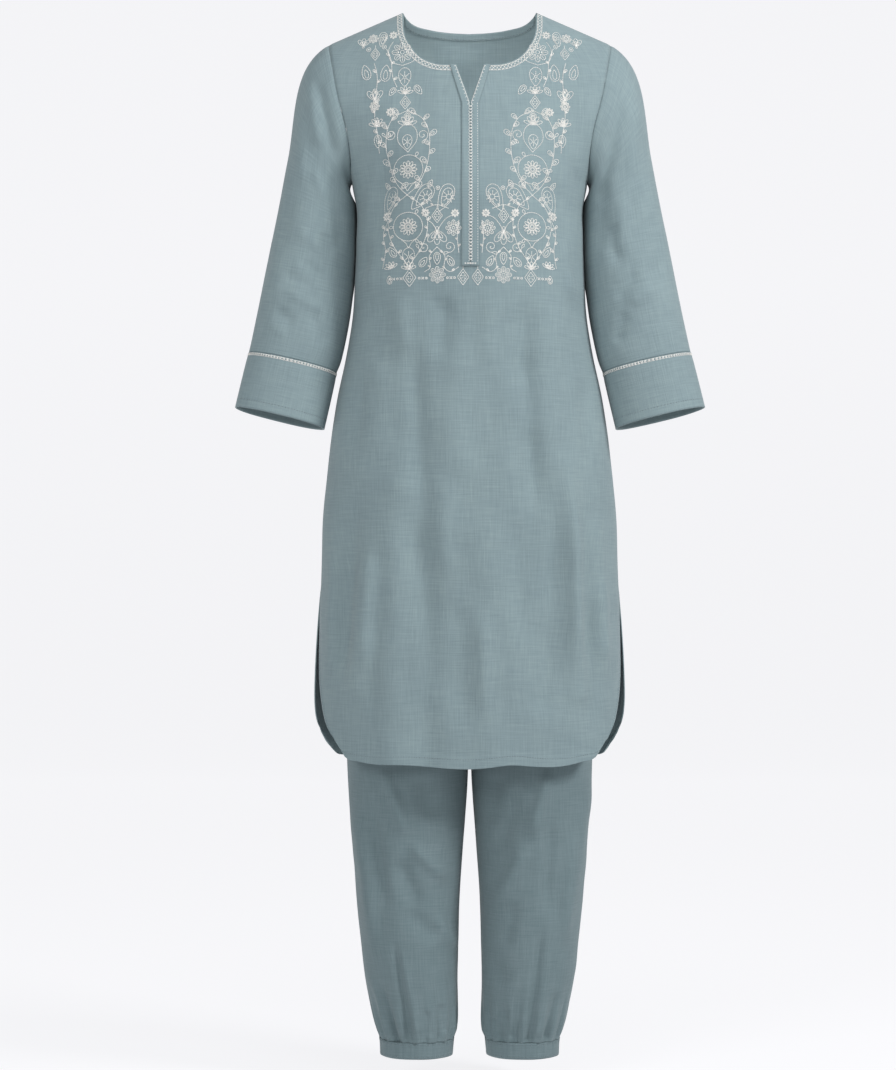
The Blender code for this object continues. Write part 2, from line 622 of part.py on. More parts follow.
def leg_panel(name, side, hand, folds):
    """Makes one trouser panel with its folds and ankle gathers."""
    plan = [(drop, LEG_COLUMNS) for drop in LEG_COARSE_ROWS]
    plan += [(drop, 2 * LEG_COLUMNS) for drop in LEG_MIDDLE_ROWS]
    plan += [(drop, 4 * LEG_COLUMNS) for drop in LEG_FINE_ROWS]
    rows = [leg_row(side, columns, drop) for drop, columns in plan]
    plain = list(rows)
    for k, (drop, columns) in enumerate(plan):
        out = row_normals(plain[max(k - 1, 0)], plain[k], plain[min(k + 1, len(plan) - 1)], side)
        share = np.linspace(0.0, 1.0, columns + 1)
        edge = ease(np.minimum(share, 1.0 - share) / LEG_EDGE)
        height = fold_height(folds, side, plain[k][:, 0], drop) * edge
        depth = np.interp(drop, GATHER_DEPTH["drop"], GATHER_DEPTH["depth"])
        height = height + depth * np.cos(2.0 * math.pi * GATHERS * share)
        rows[k] = plain[k] + out * height[:, None]
    directions = []
    for k, (drop, columns) in enumerate(plan):
        out = row_normals(rows[max(k - 1, 0)], rows[k], rows[min(k + 1, len(plan) - 1)], side)
        out[-1] = unit(np.array([1.0, 0.0, 0.0]))
        out[0] = inner_out(plain, k, drop, side)
        directions.append(out)
        rows[k] = rows[k].copy()
        rows[k][-1, 1] = side * SEAM_GAP / 2.0
        open_inner(rows[k], drop, side)
    counts = [len(row) for row in rows]
    points = mirrored(np.concatenate(rows), hand)
    out = mirrored(np.concatenate(directions), hand)
    wall(name, points, out, strip_faces(counts), WALL, TROUSER_CLOTH)


def inner_out(rows, k, drop, side):
    """Wall direction on a panel's inner edge: the centre seam, the crotch or the inseam."""
    if drop > CROTCH:
        lean = CROTCH_LEAN if drop < CROTCH + CROTCH_NEAR else 0.0
        return unit(np.array([-1.0, 0.0, -lean]))
    if drop == CROTCH:
        return unit(np.array(CROTCH_OUT))
    run = rows[k + 1][0] - rows[max(k - 1, 0)][0]
    return unit(np.array([0.0, -side * run[2], side * run[1]]))


def open_inner(row, drop, side):
    """Leaves the seam's gap on a panel's inner edge."""
    if drop < CROTCH:
        row[0, 0] = SEAM_GAP / 2.0
        return
    row[0, 1] = side * SEAM_GAP / 2.0
    if drop == CROTCH:
        row[0, 0] = CROTCH_GAP


def closed_band(name, rings, thickness, colour, hand=1.0):
    """Makes a band that closes on itself, from rings of points."""
    grid = np.array(rings)
    out = normals_of(grid, wrap=True)
    faces = strip_faces([grid.shape[1]] * len(grid), wrap=True)
    wall(name, mirrored(grid, hand), mirrored(out, hand), faces, thickness, colour)


def trousers():
    """Makes the four trouser panels, the waistband and the ankle cuffs."""
    for name, hand, folds in (("left", -1.0, LEG_FOLDS_LEFT), ("right", 1.0, LEG_FOLDS_RIGHT)):
        leg_panel("leg_front_" + name, FRONT, hand, folds)
        leg_panel("leg_back_" + name, BACK, hand, folds)
        share = np.linspace(0.0, 1.0, CUFF_COLUMNS + 1)
        rings = []
        for drop in (ANKLE_SEAM, (ANKLE_SEAM + ANKLE_HEM) / 2.0, ANKLE_HEM):
            front_x, front_y = leg_point(FRONT, share, drop)
            back_x, back_y = leg_point(BACK, share[::-1], drop)
            x = np.concatenate([front_x, back_x[1:-1]])
            y = np.concatenate([front_y, back_y[1:-1]])
            rings.append(np.stack([x, y, np.full(len(x), -drop)], -1))
        closed_band("ankle_cuff_" + name, rings, CUFF_WALL, TROUSER_CLOTH, hand)
    share = np.linspace(0.0, 1.0, WAIST_COLUMNS + 1)
    rings = []
    for drop in (WAIST_TOP, WAIST_SEAM - SEAM_GAP):
        front_x, front_y = hip_point(FRONT, share, drop)
        back_x, back_y = hip_point(BACK, share, drop)
        x = np.concatenate([front_x[::-1], -front_x[1:], -back_x[::-1][1:], back_x[1:-1]])
        y = np.concatenate([front_y[::-1], front_y[1:], back_y[::-1][1:], back_y[1:-1]])
        rings.append(np.stack([x, y, np.full(len(x), -drop)], -1))
    closed_band("waistband", rings, CASING_WALL, TROUSER_CLOTH)


def panel_out(grid, side):
    """Outward directions of a kurta panel, level with its other half along the side and shoulder seams."""
    out = -side * normals_of(grid)
    rows = len(TOP_ROWS) - 1
    widths = smooth_through(BODY, "half_width", -grid[:, -1, 2])
    slopes = np.gradient(widths, grid[:, -1, 2])
    seam = unit(np.stack([np.ones(len(slopes)), np.zeros(len(slopes)), -slopes], -1))
    last = rows + MIDDLE_ROWS
    out[rows : last + 1, -1] = seam[rows : last + 1]
    out[rows : last + 1, 0] = mirrored(seam[rows : last + 1], -1.0)
    shoulder = unit(np.array([SHOULDER_SLOPE, 0.0, 1.0]))
    out[0, COLUMNS + NECK_COLUMN :] = shoulder
    out[0, : COLUMNS - NECK_COLUMN + 1] = mirrored(shoulder, -1.0)
    return out


def folded_panels(columns, rows):
    """Middle surfaces of the front and back with their folds, and their wall directions."""
    window = ease((COLUMNS - np.abs(columns)) / SIDE_FADE) * ease(rows / TOP_FADE)[:, None]
    grids = {}
    directions = {}
    for side in (FRONT, BACK):
        grid = kurta_grid(side, columns, rows)
        height = fold_height(BODY_FOLDS, side, grid[..., 0], -grid[..., 2]) * window
        grids[side] = grid + panel_out(grid, side) * height[..., None]
        directions[side] = panel_out(grids[side], side)
    return grids, directions


def armhole_of(values):
    """The right-hand armhole's values, from its top down the front and up the back."""
    rows = len(TOP_ROWS)
    return np.concatenate([values[FRONT][:rows, -1], values[BACK][:rows, -1][::-1][1:-1]])


def make_panels(grids, directions, shared):
    """Makes the front and back, parted by the seams' gaps. shared are the armholes' wall directions."""
    rows = len(TOP_ROWS)
    last = rows - 1
    edge_out = {FRONT: shared[:rows], BACK: shared[np.r_[0, len(shared) - 1 : last - 1 : -1]]}
    for side, name in ((FRONT, "kurta_front"), (BACK, "kurta_back")):
        grid = grids[side].copy()
        out = directions[side].copy()
        out[:rows, -1] = edge_out[side]
        out[:rows, 0] = mirrored(edge_out[side], -1.0)
        grid[:rows, -1, 0] -= SEAM_GAP / 2.0
        grid[:rows, 0, 0] += SEAM_GAP / 2.0
        sides = slice(last, last + MIDDLE_ROWS + 1)
        grid[sides, 0, 1] += side * SEAM_GAP / 2.0
        grid[sides, -1, 1] += side * SEAM_GAP / 2.0
        grid[0, COLUMNS + NECK_COLUMN :, 1] += side * SEAM_GAP / 2.0
        grid[0, : COLUMNS - NECK_COLUMN + 1, 1] += side * SEAM_GAP / 2.0
        wall(name, grid, out, strip_faces([grid.shape[1]] * len(grid)), WALL, CLOTH)


def outward(grid):
    """Outward unit normals of a sleeve's rings."""
    out = normals_of(grid, wrap=True)
    return -out if out[0, 0, 2] < 0.0 else out


def make_sleeve(name, hand, folds, armhole, shared):
    """Makes one sleeve with its cuff. shared are the armhole's wall directions."""
    grid = sleeve_grid(armhole, folds)
    out = outward(grid)
    out[0] = shared
    faces = strip_faces([grid.shape[1]] * len(grid), wrap=True)
    wall("sleeve_" + name, mirrored(grid, hand), mirrored(out, hand), faces, WALL, CLOTH)
    angles = ring_angles(armhole)
    rings = [section_ring(CUFF, row, angles) for row in range(len(CUFF["tilt"]))]
    closed_band("cuff_" + name, rings, CUFF_WALL, CLOTH, hand)


def back_neck_facing(grid, directions):
    """Makes the facing inside the top edge of the back, whose surface and wall directions are given."""
    facing = slice(COLUMNS - FACING_COLUMNS, COLUMNS + FACING_COLUMNS + 1)
    out = unit(directions[:2, facing])
    points = grid[:2, facing] - out * ((WALL + BAND_WALL) / 2.0 + LAY_GAP)
    wall("back_neck_facing", points, out, strip_faces([points.shape[1]] * 2), BAND_WALL, CLOTH)


def kurta():
    """Makes the kurta: front, back, sleeves, cuffs, back neck facing and placket."""
    columns = np.arange(-COLUMNS, COLUMNS + 1)
    middle = 1.0 + np.arange(1, MIDDLE_ROWS + 1) / MIDDLE_ROWS
    lower = 2.0 + np.arange(1, LOWER_ROWS + 1) / LOWER_ROWS
    grids, directions = folded_panels(columns, np.concatenate([TOP_ROWS, middle, lower]))
    armhole = armhole_of(grids)
    shared = joined_out(armhole_of(directions), outward(sleeve_grid(armhole, NO_FOLDS))[0])
    make_panels(grids, directions, shared)
    make_sleeve("left", -1.0, SLEEVE_FOLDS_LEFT, armhole, shared)
    make_sleeve("right", 1.0, SLEEVE_FOLDS_RIGHT, armhole, shared)
    back_neck_facing(grids[BACK], directions[BACK])
    placket()


def placket():
    """Makes the band up the front, parted into two arms along the neck slit."""
    rows = []
    for drop in np.linspace(PLACKET_END, SLIT_END, PLACKET_ROWS + 1):
        rows.append([(-PLACKET_HALF, drop), (0.0, drop), (PLACKET_HALF, drop)])
    corner_x = FRONT_NECK["across"][0]
    corner_drop = FRONT_NECK["drop"][0] + 0.5
    places = [place for row in rows for place in row]
    faces = []
    for k in range(PLACKET_ROWS):
        a = 3 * k
        for step in (0, 1):
            faces += [(a + step, a + step + 1, a + step + 4), (a + step, a + step + 4, a + step + 3)]
    low = 3 * PLACKET_ROWS
    for hand in (-1.0, 1.0):
        inner = low + 1
        outer = low if hand < 0.0 else low + 2
        for k in range(1, PLACKET_ARM_ROWS + 1):
            t = k / PLACKET_ARM_ROWS
            drop = SLIT_END + (corner_drop - SLIT_END) * t
            edge = corner_x * t
            places.append((hand * edge, drop))
            places.append((hand * (edge + PLACKET_HALF + (PLACKET_ARM - PLACKET_HALF) * t), drop))
            new_inner = len(places) - 2
            new_outer = len(places) - 1
            if hand > 0.0:
                faces += [(inner, outer, new_outer), (inner, new_outer, new_inner)]
            else:
                faces += [(outer, inner, new_inner), (outer, new_inner, new_outer)]
            inner = new_inner
            outer = new_outer
    x, drop = np.array(places).T
    step = 1.0
    side = body_place(FRONT, x + step, drop) - body_place(FRONT, x - step, drop)
    down = body_place(FRONT, x, drop + step) - body_place(FRONT, x, drop - step)
    out = unit(np.cross(down, side))
    points = body_place(FRONT, x, drop) + out * ((WALL + BAND_WALL) / 2.0 + LAY_GAP)
    wall("placket", points, out, faces, BAND_WALL, CLOTH)


def main():
    for item in list(bpy.data.objects):
        bpy.data.objects.remove(item)
    kurta()
    trousers()


main()
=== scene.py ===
"""Kurta set dressed for the render: thin cloth shells with folds, seams, stitches and white embroidery."""

import logging
import math
from dataclasses import dataclass, field
from enum import Enum

import bpy
import numpy as np
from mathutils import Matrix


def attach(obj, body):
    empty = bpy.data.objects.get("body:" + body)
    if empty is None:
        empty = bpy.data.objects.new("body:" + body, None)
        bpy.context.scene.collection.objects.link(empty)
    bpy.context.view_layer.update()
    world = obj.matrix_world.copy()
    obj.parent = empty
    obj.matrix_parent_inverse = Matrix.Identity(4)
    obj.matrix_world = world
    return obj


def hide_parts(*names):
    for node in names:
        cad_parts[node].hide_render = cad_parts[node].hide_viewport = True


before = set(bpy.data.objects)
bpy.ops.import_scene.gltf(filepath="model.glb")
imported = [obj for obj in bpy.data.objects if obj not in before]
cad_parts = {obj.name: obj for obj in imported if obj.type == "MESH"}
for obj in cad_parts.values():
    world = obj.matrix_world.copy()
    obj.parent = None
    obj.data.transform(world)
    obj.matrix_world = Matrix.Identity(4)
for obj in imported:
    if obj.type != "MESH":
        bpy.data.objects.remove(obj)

MM = 0.001
Array = np.ndarray
LOG = logging.getLogger("kurta_set")
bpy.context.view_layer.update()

SHOULDER_NECK = 89.0  # half the neck width at the shoulder seam
SHOULDER_SLOPE = 0.435  # fall of the shoulder seam per millimetre across
SHOULDER_END = 189.0
UNDERARM = 230.0
SLIT_TOP = 775.0
SLIT_END = 135.0  # lowest point of the neck slit
WAIST_TOP = 400.0
WAIST_SEAM = 425.0
CROTCH = 700.0
RISE_START = 560.0
ANKLE_PLEATS = 1340.0
ANKLE_SEAM = 1372.0
ANKLE_HEM = 1394.0
BODY_ROUND = 2.3
SLEEVE_ROUND = 2.2
LEG_ROUND = 2.15
CENTRE_ROUND = 80.0
SHOULDER_ROLL = 60.0
COLUMNS = 10  # pattern columns from the middle of a tunic panel to its armhole and side seam
NECK_COLUMN = 7  # the column where the neckline meets the shoulder
SLIT_COLUMN = 2  # the column where the neck slit meets the neckline
BODY_REACH = 0.75  # a tunic section's depth for a half width of 1
HIP_REACH = 0.7  # the same for the hips
ARC_SAMPLES = 400
SHELL = 0.9  # thickness of one layer of cloth as it is drawn
SEAM_HALF = 2.2  # half the width of the hollow along a seam
CUFF_THICKNESS = 1.9  # of a cuff's two layers
RELIEF_FADE = 34.0  # distance below the neckline and shoulder over which the folds die out


class Side(Enum):
    """Which half of the garment a surface belongs to, as the sign of its Y direction."""

    FRONT = -1
    BACK = 1


class Hand(Enum):
    """Left or right as the viewer sees it, as the sign of its X direction."""

    LEFT = -1
    RIGHT = 1


class Held(Enum):
    """How a sheet of cloth is held."""

    HUNG = "hung"
    GATHERED = "gathered"
    LAID = "laid"
    STRETCHED = "stretched"


FRONT = Side.FRONT.value
BACK = Side.BACK.value
CHEST_NARROWING = {FRONT: 0.13, BACK: 0.05}  # depth lost per millimetre away from the middle
SHOULDER_DEPTH = {FRONT: 45.0, BACK: 68.0}  # depth at which the shoulder's roll ends
HALF_NAME = {FRONT: "front", BACK: "back"}


def table(names: str, *rows: tuple[float, ...]) -> dict[str, Array]:
    """Reads a table written row by row.

    Args:
        names: the column names, separated by spaces.
        rows: the values, one row after another.

    Returns:
        Each column by name, as an array with one value per row.
    """
    return dict(zip(names.split(), np.array(rows, float).T))


def sided(side: int, *rows: tuple[float, ...]) -> list[tuple[float, ...]]:
    """The rows of a fold table that all lie on one side."""
    return [(side, *row) for row in rows]


BODY = table(
    "drop half_width middle front back",
    (0, 193, 6, 56.6, 72.6),
    (43.5, 189, 6, 69.7, 77.9),
    (90, 181, 5, 83.6, 83.4),
    (128, 173, 4, 95, 88),
    (164, 163.5, 3, 105.8, 92.3),
    (200, 158.5, 1, 116.6, 96.6),
    (230, 157, 0, 125, 100.5),
    (264, 151, 0, 129.5, 103),
    (311, 151.5, 0, 127, 101),
    (356, 153, 0, 121, 97),
    (411, 156.5, 0, 115, 95),
    (438, 160.5, 0, 113.5, 98),
    (465, 165.5, 0, 113, 102),
    (519, 177, 0, 114, 111),
    (572, 185, 0, 116, 118),
    (626, 191, 0, 119, 123),
    (679, 196, 0, 121, 126),
    (733, 197.5, 0, 122.5, 127.5),
    (787, 199, 0, 123.5, 128.5),
    (894, 201, 0, 125, 129.5),
    (1012, 202, 0, 126.5, 130.5),
)
TURN = table(
    "drop share",
    (0, 0.35),
    (43.5, 0.35),
    (100, 0.42),
    (156, 0.56),
    (194, 0.78),
    (215, 0.92),
    (230, 1),
)
FRONT_NECK = table(
    "column across drop",
    (2, 18.1, 81.9),
    (3, 42, 81),
    (4, 61.5, 73.5),
    (5, 75, 60),
    (6, 86.5, 36),
    (7, 89, 0),
)
BACK_NECK = table(
    "column across drop",
    (0, 0, 16),
    (2, 26, 15),
    (4, 52, 12.5),
    (6, 78, 7),
    (7, 89, 0),
)
TAIL = table(
    "down front back flare",
    (0, 1, 1, 0),
    (0.25, 0.985, 1, 3),
    (0.5, 0.93, 1, 5),
    (0.75, 0.832, 0.956, 6),
    (0.88, 0.765, 0.882, 6),
    (1, 0.66, 0.76, 6),
)
HEM = table(
    "across front back",
    (0, 1001, 1001),
    (0.5, 1000, 1001),
    (0.8, 996, 1001),
    (0.93, 990, 994.5),
    (1, 976, 977),
)
SLEEVE = table(
    "outer_x outer_drop inner_x inner_drop middle half_depth tilt",
    (243, 195, 153, 262, 7, 57, 0),
    (255.5, 262, 152.7, 295, 5, 57, 0),
    (268.5, 326, 154.5, 352, 2, 57, 0.02),
    (279.5, 383, 160.5, 409, -3, 55.5, 0.05),
    (289.7, 435, 170.8, 462, -10, 50, 0.07),
    (294.5, 457.3, 178.4, 483.7, -13, 46.5, 0.08),
)
CUFF = table(
    "outer_x outer_drop inner_x inner_drop middle half_depth tilt",
    (294.7, 457.6, 178.4, 484, -13, 46.7, 0.08),
    (303.5, 494, 186.5, 521.5, -17, 45.5, 0.08),
    (312, 530.6, 195, 558.8, -21, 44, 0.08),
)
HIP = table(
    "drop half_width front back",
    (400, 130, 85, 83),
    (425, 131, 86, 85),
    (470, 145, 92, 92.2),
    (520, 160, 99, 103.2),
    (560, 168, 103, 110.2),
    (630, 172, 105, 116.2),
    (700, 172, 104, 114.2),
)
LEG = table(
    "drop centre half_width half_depth",
    (560, 85, 84, 98),
    (700, 86.4, 85.6, 96),
    (730, 86.5, 83.5, 95),
    (790, 84.5, 81.5, 94),
    (860, 83.5, 80.5, 92),
    (1028, 82.8, 79.8, 84),
    (1108, 82.4, 73.7, 78),
    (1189, 82.4, 68.4, 72),
    (1242, 80.4, 65, 69),
    (1296, 77.7, 61, 64.5),
    (1323, 75, 58.3, 61),
    (1349, 72.3, 54.3, 56.5),
    (1372, 70.7, 49.2, 51.5),
    (1394, 71, 47.6, 49.5),
)
GATHER_DEPTH = table(
    "drop depth", (1280, 0), (1320, 0.7), (1348, 1.9), (1362, 2.3), (1372, 0.7)
)

FOLD_NAMES = "side start_x start_drop end_x end_drop half_width height"
BODY_FOLDS = table(
    FOLD_NAMES,
    *sided(
        FRONT,
        (-138, 745, -150, 900, 13, 5), (-165, 690, -172, 860, 11, -4), (-54, 720, -56, 1003, 20, -5.5),
        (-98, 640, -104, 1000, 22, 3.5), (76, 584, 93, 913, 17, -5.5), (124, 610, 145, 905, 15, 5),
        (166, 690, 172, 850, 11, 3.5), (20, 700, 24, 1003, 24, 3), (-109, 252, -136, 345, 12, -4),
        (-88, 262, -118, 380, 15, 3), (112, 250, 134, 350, 13, -3.5), (-118, 400, -96, 560, 18, -3),
        (110, 410, 100, 560, 18, 3),
    ),
    *sided(
        BACK,
        (0, 300, 6, 560, 24, -5), (-72, 330, -62, 700, 20, 4.5), (70, 320, 82, 720, 22, 4),
        (-108, 640, -118, 985, 20, -5), (40, 700, 34, 1000, 22, -4.5), (120, 620, 140, 930, 16, -4.5),
        (-30, 760, -26, 1000, 20, 4), (-118, 190, -132, 330, 14, -3.5), (116, 180, 134, 320, 14, -3.5),
    ),
)
# Softer folds and fine creases that the solids leave out, as the cloth shows them after wear.
BODY_CREASES = table(
    FOLD_NAMES,
    *sided(
        FRONT,
        (-148, 623, -170, 913, 12, -6.6), (-180, 700, -184, 900, 7, 4.1),
        (-128, 700, -139, 890, 10, 5.3), (-76, 640, -62, 840, 18, -6.6), (-30, 620, -38, 760, 14, 4),
        (-17, 770, -14, 955, 16, -5), (16, 790, 18, 945, 10, 4.3), (60, 670, 66, 850, 14, -5.9),
        (134, 650, 136, 880, 9, 5.9), (110, 620, 104, 950, 12, -5.6), (156, 770, 160, 970, 11, -4.6),
        (172, 742, 176, 895, 8, 4.3), (-33, 384, -38, 480, 15, -4.9), (74, 384, 70, 520, 15, -5.3),
        (26, 380, 22, 486, 13, 3.6), (-96, 380, -84, 470, 13, 4), (-76, 410, -58, 740, 15, -6),
        (64, 400, 92, 700, 14, -5.6), (-20, 420, -14, 660, 19, 3.6), (130, 590, 138, 900, 8, 3.4),
        (-142, 470, -152, 600, 10, -4.9), (148, 480, 158, 620, 10, -4.3),
        (-105, 196, -128, 262, 10, -4.3), (-124, 286, -130, 384, 10, 4.6),
        (126, 300, 130, 400, 10, 4.3),
    ),
    *sided(
        BACK,
        (-60, 640, -48, 880, 16, -3.6), (0, 640, -2, 760, 14, 2.6), (66, 760, 70, 940, 13, 3),
        (-150, 640, -166, 880, 11, -3.2), (160, 660, 170, 880, 10, 3), (-92, 480, -80, 600, 13, -2.6),
        (104, 480, 98, 600, 13, -2.6),
    ),
    *sided(
        FRONT,
        (-128, 205, -146, 262, 5, -1.6), (-119, 214, -139, 288, 4.5, 1.2),
        (131, 196, 146, 255, 5, -1.6), (121, 216, 137, 286, 4.5, 1.2), (-60, 392, -20, 410, 7, -0.8),
        (-96, 438, -52, 452, 7, 0.8), (34, 420, 84, 432, 7, -0.8), (50, 470, 118, 452, 8, 0.9),
        (-138, 470, -120, 540, 7, -1.2), (138, 470, 128, 545, 7, 1.1), (-28, 500, -34, 640, 9, 0.9),
        (24, 480, 30, 590, 9, -0.9), (-132, 590, -70, 612, 8, 0.8), (58, 640, 112, 622, 8, -0.8),
        (-80, 760, -84, 940, 9, -1.4), (-122, 800, -128, 960, 8, -1.6), (-20, 790, -16, 960, 10, 1.2),
        (52, 740, 58, 980, 9, 1.3), (116, 770, 122, 965, 8, -1.5), (156, 760, 152, 880, 7, -1.2),
        (-36, 118, -60, 190, 8, 0.7), (40, 112, 62, 186, 8, 0.7), (-24, 92, -42, 130, 5, -0.7),
        (25, 92, 40, 128, 5, -0.7),
    ),
    *sided(
        BACK,
        (-40, 360, 20, 372, 7, -1), (-18, 408, 52, 398, 7, 1), (-96, 420, -50, 446, 7, -1),
        (54, 440, 104, 424, 7, -1), (-128, 210, -140, 270, 5, 1.4), (128, 212, 140, 276, 5, 1.4),
        (-50, 120, -30, 240, 10, -0.9), (56, 130, 40, 250, 10, -0.9), (-80, 800, -78, 980, 9, 1.4),
        (84, 780, 92, 985, 9, 1.4), (8, 820, 4, 990, 9, -1.2), (-150, 760, -156, 930, 8, 1.4),
    ),
)
SLEEVE_FOLDS = {
    Hand.LEFT: table(
        FOLD_NAMES,
        *sided(
            FRONT,
            (215, 92, 198, 192, 8, 3.5), (201, 94, 178, 208, 8, -4), (224, 137, 221, 240, 9, 3),
            (222, 338, 190, 360, 9, -3.5), (258, 400, 232, 423, 9, -3), (196, 300, 182, 330, 9, -3),
            (208, 210, 190, 262, 6, 1.8), (180, 214, 172, 330, 9, -3.2), (228, 300, 196, 318, 6, 2.2),
            (214, 322, 184, 346, 5, -2.4), (246, 356, 204, 372, 5, -2.2), (236, 382, 196, 402, 6, 2.2),
            (208, 404, 190, 450, 8, -2.8), (252, 300, 262, 400, 12, 2.4), (240, 250, 250, 330, 8, -1.4),
            (236, 342, 205, 352, 5, 1.4), (262, 372, 226, 384, 5, 1.2), (270, 418, 240, 440, 5, 1),
        ),
        *sided(
            BACK,
            (214, 90, 200, 200, 9, 3.5), (205, 330, 250, 352, 10, -4), (196, 372, 238, 392, 10, 3),
            (236, 180, 240, 300, 8, -1.6), (204, 352, 246, 370, 5, 1.4),
        ),
    ),
    Hand.RIGHT: table(
        FOLD_NAMES,
        *sided(
            FRONT,
            (206, 96, 184, 196, 8, -3.5), (192, 176, 168, 262, 8, -4), (222, 120, 214, 230, 10, 3),
            (186, 285, 196, 345, 9, -3.5), (246, 372, 214, 396, 9, 3), (196, 120, 180, 176, 6, 1.8),
            (178, 226, 172, 330, 9, -3.2), (204, 250, 196, 330, 9, 2.6), (222, 350, 192, 388, 6, -2.6),
            (240, 356, 206, 400, 6, 2.2), (206, 404, 192, 448, 8, -2.8), (236, 270, 252, 380, 12, -2.4),
            (212, 250, 226, 330, 8, -1.4), (216, 346, 190, 366, 5, 1.4), (262, 340, 232, 352, 6, -1.4),
            (266, 410, 228, 426, 5, -1.2),
        ),
        *sided(
            BACK,
            (218, 96, 202, 190, 9, -3.5), (200, 318, 252, 336, 10, -4), (206, 402, 250, 416, 9, -3),
            (240, 190, 246, 290, 8, 1.6), (204, 356, 252, 366, 6, 1.4),
        ),
    ),
}
LEG_FOLDS = {
    Hand.LEFT: table(
        FOLD_NAMES,
        *sided(
            FRONT,
            (153, 1030, 122, 1280, 10, 5.9), (144, 1068, 121, 1250, 6, 2.6),
            (132, 1040, 108, 1200, 8, -4.4), (113, 1004, 84, 1100, 8, 5.7),
            (84, 1100, 28, 1158, 8, 5.2), (98, 1120, 62, 1200, 13, -6), (62, 1010, 52, 1080, 20, -6.5),
            (86, 1190, 40, 1236, 13, -5.7), (46, 1200, 19, 1250, 7, 3.9), (122, 1285, 95, 1369, 5, -4),
            (101, 1228, 79, 1356, 4.6, -4.4), (134, 1275, 107, 1358, 5, 3), (38, 1318, 34, 1354, 4, -3),
            (56, 1326, 53, 1358, 4, -3), (92, 1240, 70, 1352, 5, 2), (128, 1090, 108, 1210, 9, -1.4),
            (66, 1060, 96, 1180, 10, -1.2),
        ),
        *sided(
            BACK,
            (120, 1060, 40, 1190, 14, 4), (108, 1250, 92, 1364, 6, -4.5), (62, 1270, 60, 1364, 6, -4),
            (38, 1300, 42, 1362, 5, -3), (70, 1020, 78, 1140, 10, -1.6),
        ),
    ),
    Hand.RIGHT: table(
        FOLD_NAMES,
        *sided(
            FRONT,
            (160, 1004, 121, 1256, 10, 5.2), (104, 1004, 80, 1100, 9, 6.8),
            (80, 1100, 30, 1200, 10, 6.5), (34, 1010, 26, 1090, 15, -6), (66, 1030, 34, 1130, 14, -5.7),
            (136, 1078, 120, 1246, 7, 4.7), (108, 1060, 101, 1204, 9, -6),
            (29, 1262, 48, 1296, 10, -4.7), (60, 1180, 44, 1250, 10, -3.9),
            (97, 1208, 76, 1366, 5, -4.6), (117, 1300, 101, 1364, 5, -4),
            (44, 1318, 52, 1360, 4.4, -3.5), (31, 1334, 38, 1364, 4, -2.5), (106, 1240, 88, 1356, 5, 2),
            (132, 1100, 112, 1216, 9, -1.4), (62, 1050, 84, 1180, 10, -1.2),
        ),
        *sided(
            BACK,
            (100, 1040, 36, 1220, 14, 4), (112, 1262, 96, 1366, 6, -4.5), (74, 1240, 70, 1364, 6, -4.5),
            (46, 1290, 46, 1364, 5, -3), (76, 1010, 70, 1150, 10, -1.6),
        ),
    ),
}


def cubic(
    values: Array,
    slopes: Array,
    first: Array,
    t: Array,
    span: Array | float = 1.0,
) -> Array:
    """Blends each value with the next one along a smooth curve.

    Args:
        values: the values that the curve passes, in order.
        slopes: the curve's slopes there.
        first: the index of the value before each place.
        t: how far each place is on the way to the next value, from 0 to 1.
        span: the distance from that value to the next.

    Returns:
        The curve's values at those places.
    """
    keep = (2.0 * t - 3.0) * t * t + 1.0
    bend = t * (1.0 - t) * ((1.0 - t) * slopes[first] - t * slopes[first + 1]) * span
    return keep * values[first] + (1.0 - keep) * values[first + 1] + bend


def smooth_through(
    rows: dict[str, Array], name: str, at: Array | float, key: str = "drop"
) -> Array:
    """Follows a smooth curve through a table's column, level beyond its ends.

    Args:
        rows: the table.
        name: the column that is read.
        at: the places to read it at.
        key: the column that the places are measured in.

    Returns:
        The curve's values at those places.
    """
    places = rows[key]
    at = np.clip(np.asarray(at, float), places[0], places[-1])
    first = np.clip(np.searchsorted(places, at, side="right") - 1, 0, len(places) - 2)
    span = places[first + 1] - places[first]
    slopes = np.gradient(rows[name], places)
    return cubic(rows[name], slopes, first, (at - places[first]) / span, span)


def curve_through(points: Array, places: Array) -> Array:
    """Follows a smooth curve through points, or through whole rings of points.

    Args:
        points: what the curve passes, in order.
        places: where it is read, 0 at the first and 1 more at each one after it.

    Returns:
        A point or ring for each place.
    """
    first = np.clip(places.astype(int), 0, len(points) - 2)
    t = (places - first).reshape(-1, *[1] * (points.ndim - 1))
    return cubic(points, np.gradient(points, axis=0), first, t)


def totals(steps: Array, axis: int = 0) -> Array:
    """Adds steps up along an axis, from 0."""
    return np.insert(np.cumsum(steps, axis=axis), 0, 0.0, axis=axis)


def run_lengths(points: Array) -> Array:
    """The distance along a line to each of its points."""
    return totals(np.linalg.norm(np.diff(points, axis=0), axis=1))


def resampled(points: Array, count: int) -> Array:
    """Places points at an even pitch along a line, from its first point to its last.

    Args:
        points: the line's points, of any dimension.
        count: the number of new points.

    Returns:
        The new points.
    """
    lengths = run_lengths(points)
    places = np.linspace(0.0, lengths[-1], count)
    return np.stack([np.interp(places, lengths, column) for column in points.T], -1)


def evenly(points: Array, pitch: float) -> Array:
    """The line's points placed again, as near to the pitch as an even spacing comes."""
    return resampled(points, max(2, int(round(run_lengths(points)[-1] / pitch)) + 1))


def ease(t: Array | float) -> Array:
    """Smooth step from 0 to 1."""
    t = np.clip(t, 0.0, 1.0)
    return t * t * (3.0 - 2.0 * t)


